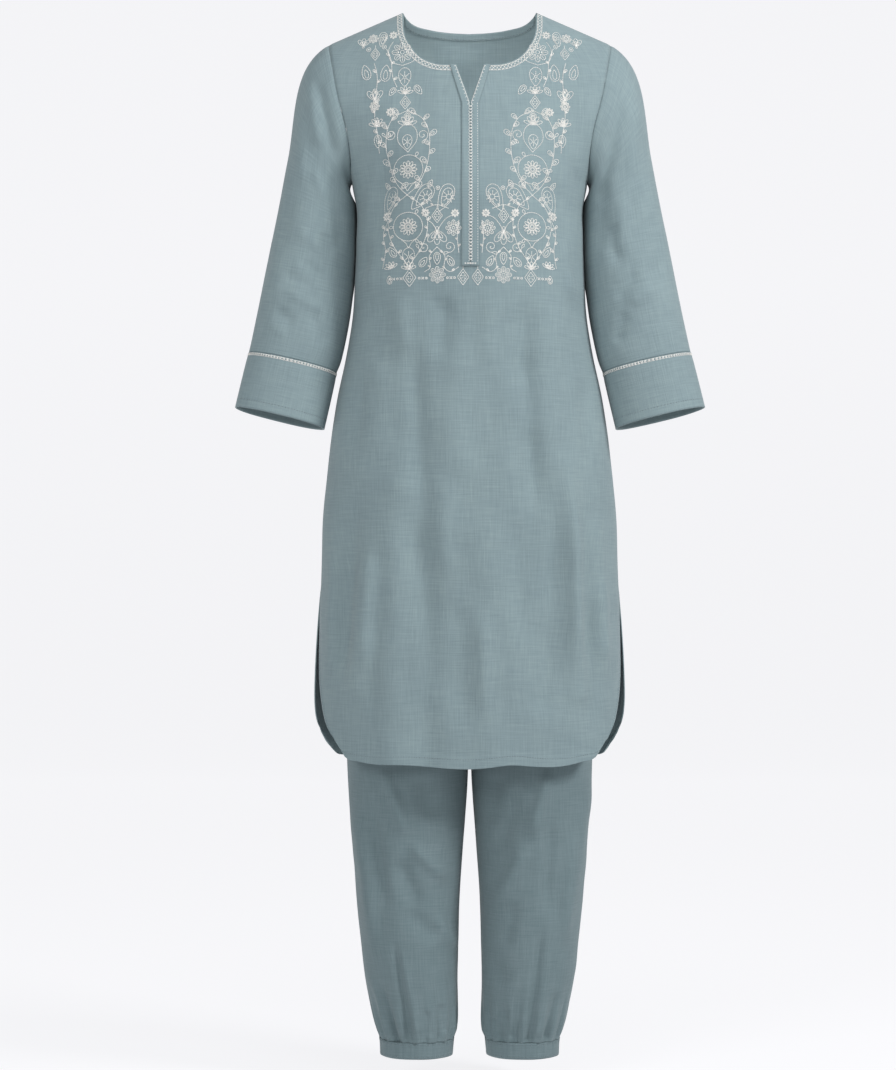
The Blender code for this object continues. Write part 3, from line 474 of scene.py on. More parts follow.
def unit(vectors: Array) -> Array:
    """The vectors at length 1."""
    return vectors / np.maximum(np.linalg.norm(vectors, axis=-1, keepdims=True), 1e-9)


def arc_angle(share: Array, power: float, reach: float) -> Array:
    """Finds a point of a quarter section by length of cloth.

    Args:
        share: how far round the quarter, from 0 to 1.
        power: the section's roundness power.
        reach: its depth for a width of 1.

    Returns:
        The point's angle in radians.
    """
    angles = np.linspace(0.0, math.pi / 2.0, ARC_SAMPLES)
    side = np.sin(angles) ** (2.0 / power)
    ahead = reach * np.cos(angles) ** (2.0 / power)
    lengths = run_lengths(np.stack([side, ahead], -1))
    return np.interp(share, lengths / lengths[-1], angles)


def rounded(values: Array, power: float) -> Array:
    """Signed power that turns a circle's coordinate into a rounded section's."""
    return np.sign(values) * np.abs(values) ** (2.0 / power)


def fold_height(
    folds: dict[str, Array], side: int, x: Array, drop: Array, taper: float = 0.0
) -> Array:
    """Adds up the soft folds of one side.

    Args:
        folds: the fold table.
        side: the sign of the side that is read.
        x: distances across.
        drop: distances down.
        taper: the share of each fold's length over which either end dies out. A pleat that runs into
            the ankle seam keeps its height there.

    Returns:
        The height outward at each place, in millimetres.
    """
    height = np.zeros(np.broadcast(x, drop).shape)
    for row in np.flatnonzero(folds["side"] == side):
        start = np.array([folds["start_x"][row], folds["start_drop"][row]])
        run = np.array([folds["end_x"][row], folds["end_drop"][row]]) - start
        along = ((x - start[0]) * run[0] + (drop - start[1]) * run[1]) / (run @ run)
        along = np.clip(along, 0.0, 1.0)
        off = np.hypot(x - start[0] - along * run[0], drop - start[1] - along * run[1])
        full = 1.0
        if taper:
            seam = folds["end_drop"][row] > ANKLE_PLEATS
            full = ease((along if seam else np.minimum(along, 1.0 - along)) / taper)
        height += full * folds["height"][row] * np.exp(-((off / folds["half_width"][row]) ** 2))
    return height


def normals_of(grid: Array, wrap: bool = False) -> Array:
    """Finds the unit normals of a grid of points.

    Args:
        grid: points by row and column.
        wrap: whether the last column meets the first.

    Returns:
        One normal per point.
    """
    if wrap:
        across = np.roll(grid, -1, axis=1) - np.roll(grid, 1, axis=1)
    else:
        across = np.gradient(grid, axis=1)
    return unit(np.cross(np.gradient(grid, axis=0), across))


def ring_out(grid: Array) -> Array:
    """Outward directions of a grid whose rows are closed rings.

    Args:
        grid: points by ring and place.

    Returns:
        A unit vector for each point.
    """
    out = normals_of(grid, wrap=True)
    middle = grid.mean(axis=1, keepdims=True)
    return out if np.sum(out * (grid - middle)) > 0.0 else -out


def ring_angles(count: int) -> Array:
    """The angles of places spaced evenly round a ring."""
    return np.linspace(0.0, 2.0 * math.pi, count + 1)[:-1]


def level_ring(x: Array, y: Array, drop: float) -> Array:
    """Points at one height."""
    return np.stack([x, y, np.full(len(x), -drop)], -1)


def linear(hex_colour: str) -> tuple[float, float, float, float]:
    """Turns an sRGB hex colour into linear values.

    Args:
        hex_colour: the colour as "#rrggbb".

    Returns:
        Red, green, blue and 1 for opaque, as a shader reads them.
    """
    parts = [int(hex_colour.lstrip("#")[k : k + 2], 16) / 255.0 for k in (0, 2, 4)]
    lin = [c / 12.92 if c <= 0.04045 else ((c + 0.055) / 1.055) ** 2.4 for c in parts]
    return (lin[0], lin[1], lin[2], 1.0)


def add_node(tree: bpy.types.NodeTree, kind: str, **wiring: object) -> bpy.types.Node:
    """Adds a shader node with its settings and links.

    Args:
        tree: the material's node tree.
        kind: the node's type name.
        wiring: a lower-case name sets the node's own property. Any other name, with "_" for a space,
            or a number after "In", is an input: an output socket is linked to it, a value is set on it.

    Returns:
        The new node.
    """
    node = tree.nodes.new(kind)
    for name, value in wiring.items():
        if name[0].islower():
            setattr(node, name, value)
            continue
        key = int(name[2:]) if name[:2] == "In" and name[2:].isdigit() else name.replace("_", " ")
        if isinstance(value, bpy.types.NodeSocket):
            tree.links.new(value, node.inputs[key])
        else:
            node.inputs[key].default_value = value
    return node


def new_material(name: str, **constants: object) -> bpy.types.Material:
    """Starts a material and sets constants on its shader's own sockets.

    Args:
        name: the material's name.
        constants: a value for each socket, with "_" for a space in the socket's name.

    Returns:
        The new material.
    """
    made = bpy.data.materials.new(name)
    made.use_nodes = True
    for socket, value in constants.items():
        made.node_tree.nodes["Principled BSDF"].inputs[socket.replace("_", " ")].default_value = value
    return made


@dataclass(frozen=True)
class WovenLinen:
    """Slubby linen-cotton plain weave: matt, with uneven threads that show as faint lines both ways.

    The real threads lie about 0.5 mm apart, finer than one pixel of the render, so they are drawn in
    bundles of about 1.1 mm to show at all. The slubs, thick places some 34 mm long, are at true size.
    """

    name: str
    colour: str
    dark: str
    light: str
    bundle_mm: float = 1.1
    warp_mm: float = 46.0  # length over which a bundle keeps its tone, down the cloth
    weft_mm: float = 40.0  # the same across the cloth
    slub_mm: float = 1.9
    slub_length_mm: float = 34.0
    cloud_mm: tuple[float, float] = (90.0, 120.0)  # size of the slow changes of tone
    cloud_share: float = 0.9
    tone_range: tuple[float, float] = (1.6, 3.3)  # the patterns' sum at the darkest and the lightest
    roughness: float = 0.86
    sheen: float = 0.12
    bump: float = 0.3
    relief_m: float = 0.0006

    def material(self) -> bpy.types.Material:
        """Builds the material once.

        Returns:
            The material.
        """
        if self.name in bpy.data.materials:
            return bpy.data.materials[self.name]
        made = new_material(
            self.name,
            Roughness=self.roughness,
            Sheen_Weight=self.sheen,
            Sheen_Roughness=0.5,
            Specular_IOR_Level=0.25,
            IOR=1.5,
        )
        tree = made.node_tree
        shader = tree.nodes["Principled BSDF"]
        place = add_node(tree, "ShaderNodeUVMap", uv_map="ClothMM").outputs["UV"]
        patterns = []
        for across, down, detail in (
            (self.bundle_mm, self.warp_mm, 2.0),
            (self.weft_mm, self.bundle_mm, 2.0),
            (self.slub_mm, self.slub_length_mm, 1.0),
            (self.slub_length_mm, self.slub_mm, 1.0),
            (*self.cloud_mm, 3.0),
        ):
            scale = (1.0 / across, 1.0 / down, 1.0)
            mapped = add_node(tree, "ShaderNodeMapping", Vector=place, Scale=scale).outputs["Vector"]
            noise = {"noise_dimensions": "2D", "Vector": mapped, "Scale": 1.0, "Detail": detail}
            patterns.append(add_node(tree, "ShaderNodeTexNoise", **noise).outputs[0])
        warp, weft, slub, cross, cloudy = patterns
        fine = add_node(tree, "ShaderNodeMath", operation="ADD", In0=warp, In1=weft).outputs[0]
        thick = add_node(tree, "ShaderNodeMath", operation="ADD", In0=slub, In1=cross).outputs[0]
        both = add_node(tree, "ShaderNodeMath", operation="ADD", In0=fine, In1=thick).outputs[0]
        more = {"operation": "MULTIPLY_ADD"}
        share = self.cloud_share
        mixed = add_node(tree, "ShaderNodeMath", **more, In0=cloudy, In1=share, In2=both).outputs[0]
        least, most = self.tone_range
        tone = add_node(tree, "ShaderNodeMapRange", Value=mixed, In1=least, In2=most).outputs[0]
        colours = add_node(tree, "ShaderNodeValToRGB", Fac=tone)
        stops = colours.color_ramp.elements
        stops[0].color = linear(self.dark)
        stops[1].color = linear(self.light)
        stops.new(0.5).color = linear(self.colour)
        tree.links.new(colours.outputs["Color"], shader.inputs["Base Color"])
        height = add_node(tree, "ShaderNodeMath", **more, In0=thick, In1=0.6, In2=fine).outputs[0]
        bump = {"Strength": self.bump, "Distance": self.relief_m, "Height": height}
        tree.links.new(add_node(tree, "ShaderNodeBump", **bump).outputs["Normal"], shader.inputs["Normal"])
        return made


@dataclass(frozen=True)
class EmbroideryThread:
    """Mercerised cotton thread, spun and dyed: soft satin gloss that catches the light stitch by stitch.

    The noise repeats every 1.1 mm, the length of a strand's twist in a thick embroidery cotton. Where it is
    low, the thread is painted darker as shade in the grooves between the strands, and the bump sinks it.
    """

    name: str
    colour: str
    twist: float = 900.0  # repeats per metre
    shade: float = 0.8  # painted shade in the grooves between the strands, as a share of the thread's own tone
    roughness: float = 0.55
    sheen: float = 0.3

    def material(self) -> bpy.types.Material:
        """Builds the material once.

        Returns:
            The material.
        """
        if self.name in bpy.data.materials:
            return bpy.data.materials[self.name]
        made = new_material(
            self.name, Roughness=self.roughness, Sheen_Weight=self.sheen, Specular_IOR_Level=0.4
        )
        tree = made.node_tree
        shader = tree.nodes["Principled BSDF"]
        where = add_node(tree, "ShaderNodeTexCoord").outputs["Object"]
        strand_grooves = add_node(
            tree, "ShaderNodeTexNoise", Vector=where, Scale=self.twist, Detail=2.0
        ).outputs[0]
        # Painted shade: the ramp darkens the thread where the noise is low, in the grooves between the
        # strands.
        colours = add_node(tree, "ShaderNodeValToRGB", Fac=strand_grooves)
        dark, light = colours.color_ramp.elements
        dark.position = 0.3
        light.position = 0.6
        light.color = linear(self.colour)
        dark.color = tuple(channel * self.shade for channel in linear(self.colour)[:3]) + (1.0,)
        tree.links.new(colours.outputs["Color"], shader.inputs["Base Color"])
        bump = add_node(tree, "ShaderNodeBump", Strength=0.3, Distance=0.0002, Height=strand_grooves)
        tree.links.new(bump.outputs["Normal"], shader.inputs["Normal"])
        return made


@dataclass(frozen=True)
class StudioPaper:
    """Matt backdrop paper in one sweep, lit from behind too: a pale ground with no edge, little shadow."""

    name: str
    colour: str
    glow_colour: str
    glow: float

    def material(self) -> bpy.types.Material:
        """Builds the material.

        Returns:
            The material.
        """
        return new_material(
            self.name,
            Base_Color=linear(self.colour),
            Roughness=0.95,
            Specular_IOR_Level=0.1,
            Emission_Color=linear(self.glow_colour),
            Emission_Strength=self.glow,
        )


KURTA_LINEN = WovenLinen("kurta_linen_weave", "#7b8c90", "#718287", "#859698")
TROUSER_LINEN = WovenLinen("trouser_linen_weave", "#697a7e", "#607276", "#728286")
WHITE_THREAD = EmbroideryThread("white_cotton_thread", "#eeece7")
SELF_THREAD = EmbroideryThread("matching_cotton_thread", "#5a6a70")
BACKDROP_PAPER = StudioPaper("backdrop_paper", "#6e6e70", "#f6f6f8", 0.875)


@dataclass
class ClothGrid:
    """A surface of cloth as a grid of points, with the directions that its thickness runs in.

    points and out are by row and column, in millimetres and as unit vectors. spots holds the flat
    place of each point in the cloth, in millimetres.
    """

    points: Array
    out: Array
    wrap: bool = False
    upright: bool = False  # the grain hangs straight down, and rows need not follow it
    shift: float = 0.0  # starts the weave elsewhere, so that two pieces differ
    layers: Array | None = None
    spots: Array = field(init=False)
    girth: float = field(init=False, default=0.0)

    def __post_init__(self) -> None:
        """Measures the flat place of each point along its own row and column."""
        steps = np.diff(self.points, axis=1)
        across = np.linalg.norm(steps[..., :2] if self.upright else steps, axis=-1)
        u = totals(across, axis=1)
        u = u.mean(axis=0)[None, :] + 0.0 * u if self.wrap else u - u[:, u.shape[1] // 2][:, None]
        down = np.linalg.norm(np.diff(self.points, axis=0), axis=-1).mean(axis=1)
        v = totals(down)[:, None] + 0.0 * u
        if self.upright:
            v = -self.points[..., 2]
        if self.wrap:
            ends = np.linalg.norm(self.points[:, 0] - self.points[:, -1], axis=-1).mean()
            self.girth = float(u[0, -1] + ends)
        self.spots = np.stack([u, v], -1) + self.shift

    def at(self, row: Array, column: Array) -> tuple[Array, Array]:
        """Reads the surface between its points.

        Args:
            row: places down, in rows.
            column: places across, in columns.

        Returns:
            The points there and the unit directions outward.
        """
        rows, columns = self.points.shape[:2]
        row = np.clip(row, 0, rows - 1.001)
        column = np.mod(column, columns) if self.wrap else np.clip(column, 0, columns - 1.001)
        i = row.astype(int)
        j = column.astype(int)
        s = (row - i)[:, None]
        t = (column - j)[:, None]
        after = (j + 1) % columns
        found = []
        for values in (self.points, self.out):
            upper = values[i, j] * (1 - t) + values[i, after] * t
            lower = values[i + 1, j] * (1 - t) + values[i + 1, after] * t
            found.append(upper * (1 - s) + lower * s)
        return found[0], unit(found[1])

    def shell(self, name: str, finish: WovenLinen, thickness: float = SHELL) -> bpy.types.Object:
        """Makes the closed thin shell of this cloth.

        Args:
            name: the piece's name.
            finish: the cloth it is made of.
            thickness: the shell's thickness, in millimetres, where layers is 1.

        Returns:
            The new mesh object.
        """
        rows, columns = self.points.shape[:2]
        half = self.out * thickness / 2.0
        if self.layers is not None:
            half = half * self.layers[..., None]
        outer = (self.points + half).reshape(-1, 3)
        inner = (self.points - half).reshape(-1, 3)
        count = rows * columns
        index = np.arange(count).reshape(rows, columns)
        right = np.roll(index, -1, axis=1) if self.wrap else index[:, 1:]
        left = index if self.wrap else index[:, :-1]
        faces = np.stack([left[:-1], left[1:], right[1:], right[:-1]], -1).reshape(-1, 4)
        ends = np.concatenate([faces[:, [k, (k + 1) % 4]] for k in range(4)])
        keys = ends[:, 0] * count + ends[:, 1]
        open_ends = ends[~np.isin(keys, ends[:, 1] * count + ends[:, 0])]
        starts, stops = open_ends.T
        rims = np.stack([stops, starts, starts + count, stops + count], -1)
        solid = np.concatenate([faces, faces[:, ::-1] + count, rims])
        corners = np.concatenate([outer, inner])
        a, b, c, d = (corners[solid[:, k]] for k in range(4))
        if np.sum(a * (np.cross(b, c) + np.cross(c, d))) < 0.0:
            solid = solid[:, ::-1]  # the volume came out negative, so the faces pointed inward
        mesh = bpy.data.meshes.new(name)
        mesh.from_pydata((corners * MM).tolist(), [], solid.tolist())
        self._lay_out(mesh, solid, count)
        mesh.materials.append(finish.material())
        mesh.shade_smooth()
        return link(name, mesh)

    def _lay_out(self, mesh: bpy.types.Mesh, solid: Array, count: int) -> None:
        """Writes the flat places into the mesh as its cloth map.

        Args:
            mesh: the shell's mesh.
            solid: its faces.
            count: the number of points in one layer.
        """
        spots = self.spots.reshape(-1, 2)[solid % count]
        if self.wrap:
            u = spots[..., 0]
            crossing = np.ptp(u, axis=1) > self.girth / 2.0
            u[crossing] += np.where(u[crossing] < self.girth / 2.0, self.girth, 0.0)
        layer = mesh.uv_layers.new(name="ClothMM")
        layer.data.foreach_set("uv", spots.reshape(-1).astype(np.float32))


def link(name: str, mesh: bpy.types.Mesh) -> bpy.types.Object:
    """Makes an object of a mesh and puts it in the scene.

    Args:
        name: the object's name.
        mesh: its mesh.

    Returns:
        The object.
    """
    made = bpy.data.objects.new(name, mesh)
    bpy.context.scene.collection.objects.link(made)
    return made


def settle(piece: bpy.types.Object, slot: str, *nodes: str) -> bpy.types.Object:
    """Puts a piece on the garment's one body.

    Args:
        piece: the new object.
        slot: the record's material slot; not used.
        nodes: the solids that it stands for.

    Returns:
        The same object.
    """
    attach(piece, "root")
    if nodes:
        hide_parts(*nodes)
    LOG.info("%s: %d faces", piece.name, len(piece.data.polygons))
    return piece


@dataclass
class StitchRun:
    """Collects stitches and joins them into one piece, each a slim closed lens that lies on the cloth."""

    width: float = 0.9
    height: float = 0.5
    tip_share: float = 0.55  # a stitch's width at its ends, as a share of its width in the middle
    starts: list[Array] = field(default_factory=list)
    ends: list[Array] = field(default_factory=list)
    outs: list[Array] = field(default_factory=list)

    def add(self, start: Array, end: Array, out: Array) -> None:
        """Adds stitches.

        Args:
            start: their start points.
            end: their end points.
            out: the outward directions there.
        """
        self.starts.append(start)
        self.ends.append(end)
        self.outs.append(out)

    def along(self, points: Array, out: Array, cover: float = 0.78) -> None:
        """Adds one stitch for each space of a line.

        Args:
            points: the line's points.
            out: the outward directions there.
            cover: the share of each space that the stitch covers.
        """
        middle = (points[1:] + points[:-1]) / 2.0
        half = (points[1:] - points[:-1]) / 2.0 * cover
        self.add(middle - half, middle + half, unit(out[1:] + out[:-1]))

    def round(self, cloth: ClothGrid, row: float, pitch: float, lift: float) -> None:
        """Adds a row of stitches all round a ring of cloth.

        Args:
            cloth: the ring's cloth.
            row: the row of its grid.
            pitch: the length of a stitch with its space.
            lift: how far the stitches lie over the cloth's middle layer.
        """
        edge = np.linspace(0.0, float(cloth.points.shape[1]), int(cloth.girth / pitch) + 1)
        points, out = cloth.at(np.full(len(edge), row), edge)
        self.along(points + out * lift, out, 0.7)

    def piece(self, name: str, thread: EmbroideryThread) -> bpy.types.Object:
        """Joins the stitches into one object.

        Args:
            name: the piece's name.
            thread: the thread they are sewn with.

        Returns:
            The new mesh object.
        """
        start = np.concatenate(self.starts)
        end = np.concatenate(self.ends)
        out = np.concatenate(self.outs)
        middle = (start + end) / 2.0
        side = unit(np.cross(end - start, out)) * self.width / 2.0
        tip = side * self.tip_share
        rim = [start + tip, start - tip, middle - side, end - tip, end + tip, middle + side]
        corners = np.stack([*rim, middle + out * self.height], 1).reshape(-1, 3)
        around = [(k, (k + 1) % 6, 6) for k in range(6)]
        under = [(0, k + 1, k) for k in range(1, 5)]
        faces = np.array(around + under)[None] + 7 * np.arange(len(start))[:, None, None]
        faces = faces.reshape(-1, 3)
        mesh = bpy.data.meshes.new(name)
        mesh.from_pydata((corners * MM).tolist(), [], faces.tolist())
        mesh.materials.append(thread.material())
        mesh.shade_smooth()
        return link(name, mesh)


def top_edge(side: int, column: Array) -> tuple[Array, Array]:
    """Finds a tunic panel's top edge: the neck slit, the neckline and the shoulder.

    Args:
        side: FRONT or BACK.
        column: columns from 0, the middle, to COLUMNS, the armhole.

    Returns:
        Distances across and down.
    """
    neck = FRONT_NECK if side == FRONT else BACK_NECK
    across = smooth_through(neck, "across", column, "column")
    drop = smooth_through(neck, "drop", column, "column")
    if side == FRONT:
        share = column / SLIT_COLUMN
        slit = column < SLIT_COLUMN
        across = np.where(slit, share * FRONT_NECK["across"][0], across)
        drop = np.where(slit, SLIT_END + share * (FRONT_NECK["drop"][0] - SLIT_END), drop)
    share = (column - NECK_COLUMN) / (COLUMNS - NECK_COLUMN)
    out = SHOULDER_NECK + share * (SHOULDER_END - SHOULDER_NECK)
    shoulder = column > NECK_COLUMN
    return np.where(shoulder, out, across), np.where(shoulder, (out - SHOULDER_NECK) * SHOULDER_SLOPE, drop)


def body_depth(side: int, x: Array, drop: Array) -> Array:
    """How far the tunic stands before or behind its middle line, before it turns toward the side.

    Args:
        side: FRONT or BACK.
        x: distances across.
        drop: distances down.

    Returns:
        The depths in millimetres.
    """
    centre = smooth_through(BODY, HALF_NAME[side], drop)
    out = np.abs(x)
    out = np.where(out < CENTRE_ROUND, out * out / (2.0 * CENTRE_ROUND) + CENTRE_ROUND / 2.0, out)
    narrowing = CHEST_NARROWING[side] * (out - CENTRE_ROUND / 2.0)
    centre = centre - narrowing * (1.0 - ease((drop - UNDERARM) / (WAIST_TOP - UNDERARM)))
    rolled = np.clip((drop - SHOULDER_SLOPE * (out - SHOULDER_NECK)) / SHOULDER_ROLL, 0.0, 1.0)
    deep = SHOULDER_DEPTH[side]
    return deep * np.sqrt(1.0 - (1.0 - rolled) ** 2) + np.maximum(centre - deep, 0.0) * rolled


def body_place(side: int, x: Array, drop: Array) -> Array:
    """Finds the point of the tunic's plain surface above a place of its front view.

    Args:
        side: FRONT or BACK.
        x: distances across.
        drop: distances down.

    Returns:
        The points.
    """
    width = smooth_through(BODY, "half_width", drop)
    share = np.clip(np.abs(x) / width, 0.0, 1.0)
    turn = np.where(drop < UNDERARM, smooth_through(TURN, "share", drop), 1.0)
    left = np.maximum(1.0 - turn * share**BODY_ROUND, 0.0) ** (1.0 / BODY_ROUND)
    y = smooth_through(BODY, "middle", drop) + side * body_depth(side, x, drop) * left
    return np.stack([np.broadcast_to(x, y.shape), y, np.broadcast_to(-drop, y.shape)], -1)


def kurta_grid(side: int, columns: Array, rows: Array) -> Array:
    """Middle surface of a tunic panel.

    Args:
        side: FRONT or BACK.
        columns: from -COLUMNS to COLUMNS.
        rows: 0 is the top edge, 1 the underarm, 2 the top of the side slits and 3 the hem.

    Returns:
        Points by row and column.
    """
    column, row = np.meshgrid(columns, rows)
    hand = np.where(column < 0.0, -1.0, 1.0)
    column = np.abs(column)
    share = column / COLUMNS
    top_x, top_drop = top_edge(side, column)
    upper = np.clip(row, 0.0, 1.0)
    tail = np.clip(row - 2.0, 0.0, 1.0)
    name = HALF_NAME[side]
    hem = smooth_through(HEM, name, share, "across")
    drop = top_drop + (UNDERARM - top_drop) * upper
    drop = drop + (SLIT_TOP - UNDERARM) * np.clip(row - 1.0, 0.0, 1.0) + (hem - SLIT_TOP) * tail
    angle = arc_angle(share * smooth_through(TAIL, name, tail, "down"), BODY_ROUND, BODY_REACH)
    low = np.sin(angle) ** (2.0 / BODY_ROUND)
    high = top_x / smooth_through(BODY, "half_width", top_drop)
    width_share = np.where(row > 1.0, low, high + (low - high) * ease(upper))
    x = width_share * smooth_through(BODY, "half_width", drop)
    points = body_place(side, x, drop)
    if side == BACK:
        points[..., 0] += width_share**4 * smooth_through(TAIL, "flare", tail, "down")
    points[..., 0] *= hand
    return points


HEM_WAVES_TOP = 860.0  # drop at which the hem's unevenness begins
HEM_WAVES_RISE = 130.0  # distance over which it grows to its full size

# Where the hem hangs a little lower or higher than a straight one.
HEM_WAVES = table(
    "side x half_width lower",
    (FRONT, -8, 36, 2.8),
    (FRONT, 52, 22, -2.4),
    (FRONT, 110, 26, 2.4),
    (FRONT, -84, 26, -1.4),
    (BACK, -50, 34, 2.4),
    (BACK, 24, 26, -2.2),
    (BACK, 96, 30, 2.2),
)


def hem_fall(side: int, x: Array, drop: Array) -> Array:
    """How much lower the cloth hangs near the hem.

    Args:
        side: FRONT or BACK.
        x: distances across.
        drop: distances down.

    Returns:
        The falls in millimetres.
    """
    fall = np.zeros(x.shape)
    for facing, middle, half_width, lower in zip(*HEM_WAVES.values()):
        if facing == side:
            fall += lower * np.exp(-(((x - middle) / half_width) ** 2))
    return fall * ease((drop - HEM_WAVES_TOP) / HEM_WAVES_RISE)


# Slow unevenness of worn cloth: waves per millimetre across and down, phase, height.
UNEVENNESS = table(
    "across down phase height",
    (0.061, 0.017, 0.4, 0.45),
    (-0.043, 0.052, 1.9, 0.40),
    (0.095, -0.031, 3.1, 0.28),
    (0.022, 0.088, 4.4, 0.25),
    (-0.121, 0.066, 5.2, 0.16),
    (0.037, -0.143, 0.9, 0.14),
)


def uneven(x: Array, drop: Array) -> Array:
    """Adds up the slow waves of the cloth.

    Args:
        x: distances across.
        drop: distances down.

    Returns:
        The cloth's heights there.
    """
    waves = np.zeros(np.broadcast(x, drop).shape)
    for across, down, phase, height in zip(*UNEVENNESS.values()):
        waves += height * np.sin(across * x + down * drop + phase)
    return waves


def relief(side: int, x: Array, drop: Array) -> Array:
    """Height of the tunic's folds, creases and unevenness, which die out towards the top edge.

    Args:
        side: FRONT or BACK.
        x: distances across.
        drop: distances down.

    Returns:
        The heights outward.
    """
    folds = fold_height(BODY_FOLDS, side, x, drop) + fold_height(BODY_CREASES, side, x, drop, 0.3)
    across, edge = top_edge(side, np.linspace(SLIT_COLUMN if side == FRONT else 0.0, COLUMNS, 60))
    below = drop - np.interp(np.abs(x), across, edge)
    return (folds + uneven(x, drop)) * ease(below / RELIEF_FADE)


def on_front(x: Array, drop: Array, lift: float = 0.0) -> tuple[Array, Array]:
    """Finds places on the front's finished surface.

    Args:
        x: distances across.
        drop: distances down.
        lift: height over the cloth's middle layer.

    Returns:
        The points there and the unit directions outward.
    """
    side = body_place(FRONT, x + 1.0, drop) - body_place(FRONT, x - 1.0, drop)
    down = body_place(FRONT, x, drop + 1.0) - body_place(FRONT, x, drop - 1.0)
    out = unit(np.cross(down, side))
    return body_place(FRONT, x, drop) + out * (relief(FRONT, x, drop) + lift)[..., None], out


@dataclass
class KurtaPanel:
    """Front or back of the tunic: one panel from the shoulders to the hem, parted by slits at the sides."""

    side: Side
    steps: int  # grid steps to each pattern column
    spaces: tuple[int, int, int]  # rows to the underarm, to the slits and to the hem
    flat: tuple[float, float]
    hem_turn: float = 15.0
    slit_turn: float = 13.0
    turn_step: float = 1.2  # half the width of the step from one layer of cloth to two
    turn_height: float = 0.6
    seam_depth: float = 0.8
    groove_depth: float = 0.55  # how far the hem's stitches pull the cloth in
    groove_half: float = 1.3
    row_inset: float = 2.5  # from the turning's inner edge to the row of stitches
    stitch: float = 3.4
    stitch_lift: float = 0.75
    filled: float = 0.86  # the panel's area as a share of its flat width by length
    crowding: tuple[float, float] = (1.35, 1.45)  # how the rows crowd to the top edge and to the hem
    cloth: ClothGrid = field(init=False)
    rows: Array = field(init=False)

    def __post_init__(self) -> None:
        """Works out the panel's surface with its folds, its turned hems and its sunken seams."""
        above, middle, below = self.spaces
        top, low = self.crowding
        self.rows = np.concatenate(
            [
                np.linspace(0.0, 1.0, above + 1) ** top,
                1.0 + np.arange(1, middle + 1) / middle,
                3.0 - (1.0 - np.arange(1, below + 1) / below) ** low,
            ]
        )
        columns = np.linspace(-COLUMNS, COLUMNS, 2 * COLUMNS * self.steps + 1)
        side = self.side.value
        grid = kurta_grid(side, columns, self.rows)
        out = self._out(grid)
        window = ease((COLUMNS - np.abs(columns)) / 1.5)
        lower = hem_fall(side, grid[..., 0], -grid[..., 2])
        grid = grid + out * (relief(side, grid[..., 0], -grid[..., 2]) * window)[..., None]
        grid[..., 2] -= lower
        out = self._out(grid)
        to_hem, to_side = self._margins(grid)
        tail = ease((self.rows - 1.98) / 0.04)[:, None]
        step = self.turn_step
        hem_turned = ease((self.hem_turn + step - to_hem) / (2.0 * step))
        slit_turned = ease((self.slit_turn + step - to_side) / (2.0 * step))
        turned = np.maximum(hem_turned, tail * slit_turned)
        seam = np.exp(-((to_side / SEAM_HALF) ** 2)) * (1.0 - tail)
        groove = np.exp(-(((to_hem - self.hem_turn + self.row_inset) / self.groove_half) ** 2))
        height = self.turn_height * turned - self.seam_depth * seam - self.groove_depth * groove
        self.cloth = ClothGrid(grid + out * height[..., None], out, upright=True, shift=side * 211.0)
        self.cloth.layers = 1.0 + 0.8 * turned

    def _out(self, grid: Array) -> Array:
        """Outward directions, level with the other panel along the side and shoulder seams.

        Args:
            grid: the panel's points.

        Returns:
            A unit vector for each point.
        """
        out = -self.side.value * normals_of(grid)
        seam = (self.rows >= 1.0) & (self.rows <= 2.0)
        out[seam, -1] = (1.0, 0.0, 0.0)
        out[seam, 0] = (-1.0, 0.0, 0.0)
        neck = NECK_COLUMN * self.steps
        middle = COLUMNS * self.steps
        out[0, middle + neck :] = unit(np.array([SHOULDER_SLOPE, 0.0, 1.0]))
        out[0, : middle - neck + 1] = unit(np.array([-SHOULDER_SLOPE, 0.0, 1.0]))
        return out

    @staticmethod
    def _margins(grid: Array) -> tuple[Array, Array]:
        """Measures along the cloth from its edges.

        Args:
            grid: the panel's points.

        Returns:
            How far each point is from the hem, and from the nearer side edge.
        """
        across = np.linalg.norm(np.diff(grid, axis=1), axis=-1)
        run = totals(across, axis=1)
        down = np.linalg.norm(np.diff(grid, axis=0), axis=-1)
        fall = totals(down)
        return fall[-1] - fall, np.minimum(run, run[:, -1:] - run)

    def build(self, carried: tuple[bpy.types.Object, ...] = ()) -> bpy.types.Object:
        """Args:
            carried: pieces already sewn on the panel; not used.

        Returns:
            The panel.
        """
        node = "kurta_" + HALF_NAME[self.side.value]
        panel = settle(self.cloth.shell(node + "_cloth", KURTA_LINEN), "kurta_cloth", node)
        run = StitchRun(width=0.9, height=0.3)
        for points, out in (self._hem_line(), *[self._slit_line(hand) for hand in Hand]):
            run.along(points + out * self.stitch_lift, out, 0.7)
        stitches = settle(run.piece(node + "_hem_stitches", SELF_THREAD), "kurta_cloth")
        self.area()
        return panel

    def area(self) -> float:
        """The panel's flat area in square metres, less than that of its width by length."""
        return self.flat[0] * self.flat[1] * self.filled

    def _hem_line(self) -> tuple[Array, Array]:
        """Places the hem's row of stitches, parallel to its edge.

        Returns:
            The row's points and outward directions.
        """
        to_hem, _ = self._margins(self.cloth.points)
        inward = self.hem_turn - self.row_inset
        rows = np.arange(len(to_hem))
        row = np.array([np.interp(-inward, -column, rows) for column in to_hem.T])
        columns = np.arange(len(row), dtype=float)
        keep = slice(3, -3)
        return self._even(row[keep], columns[keep])

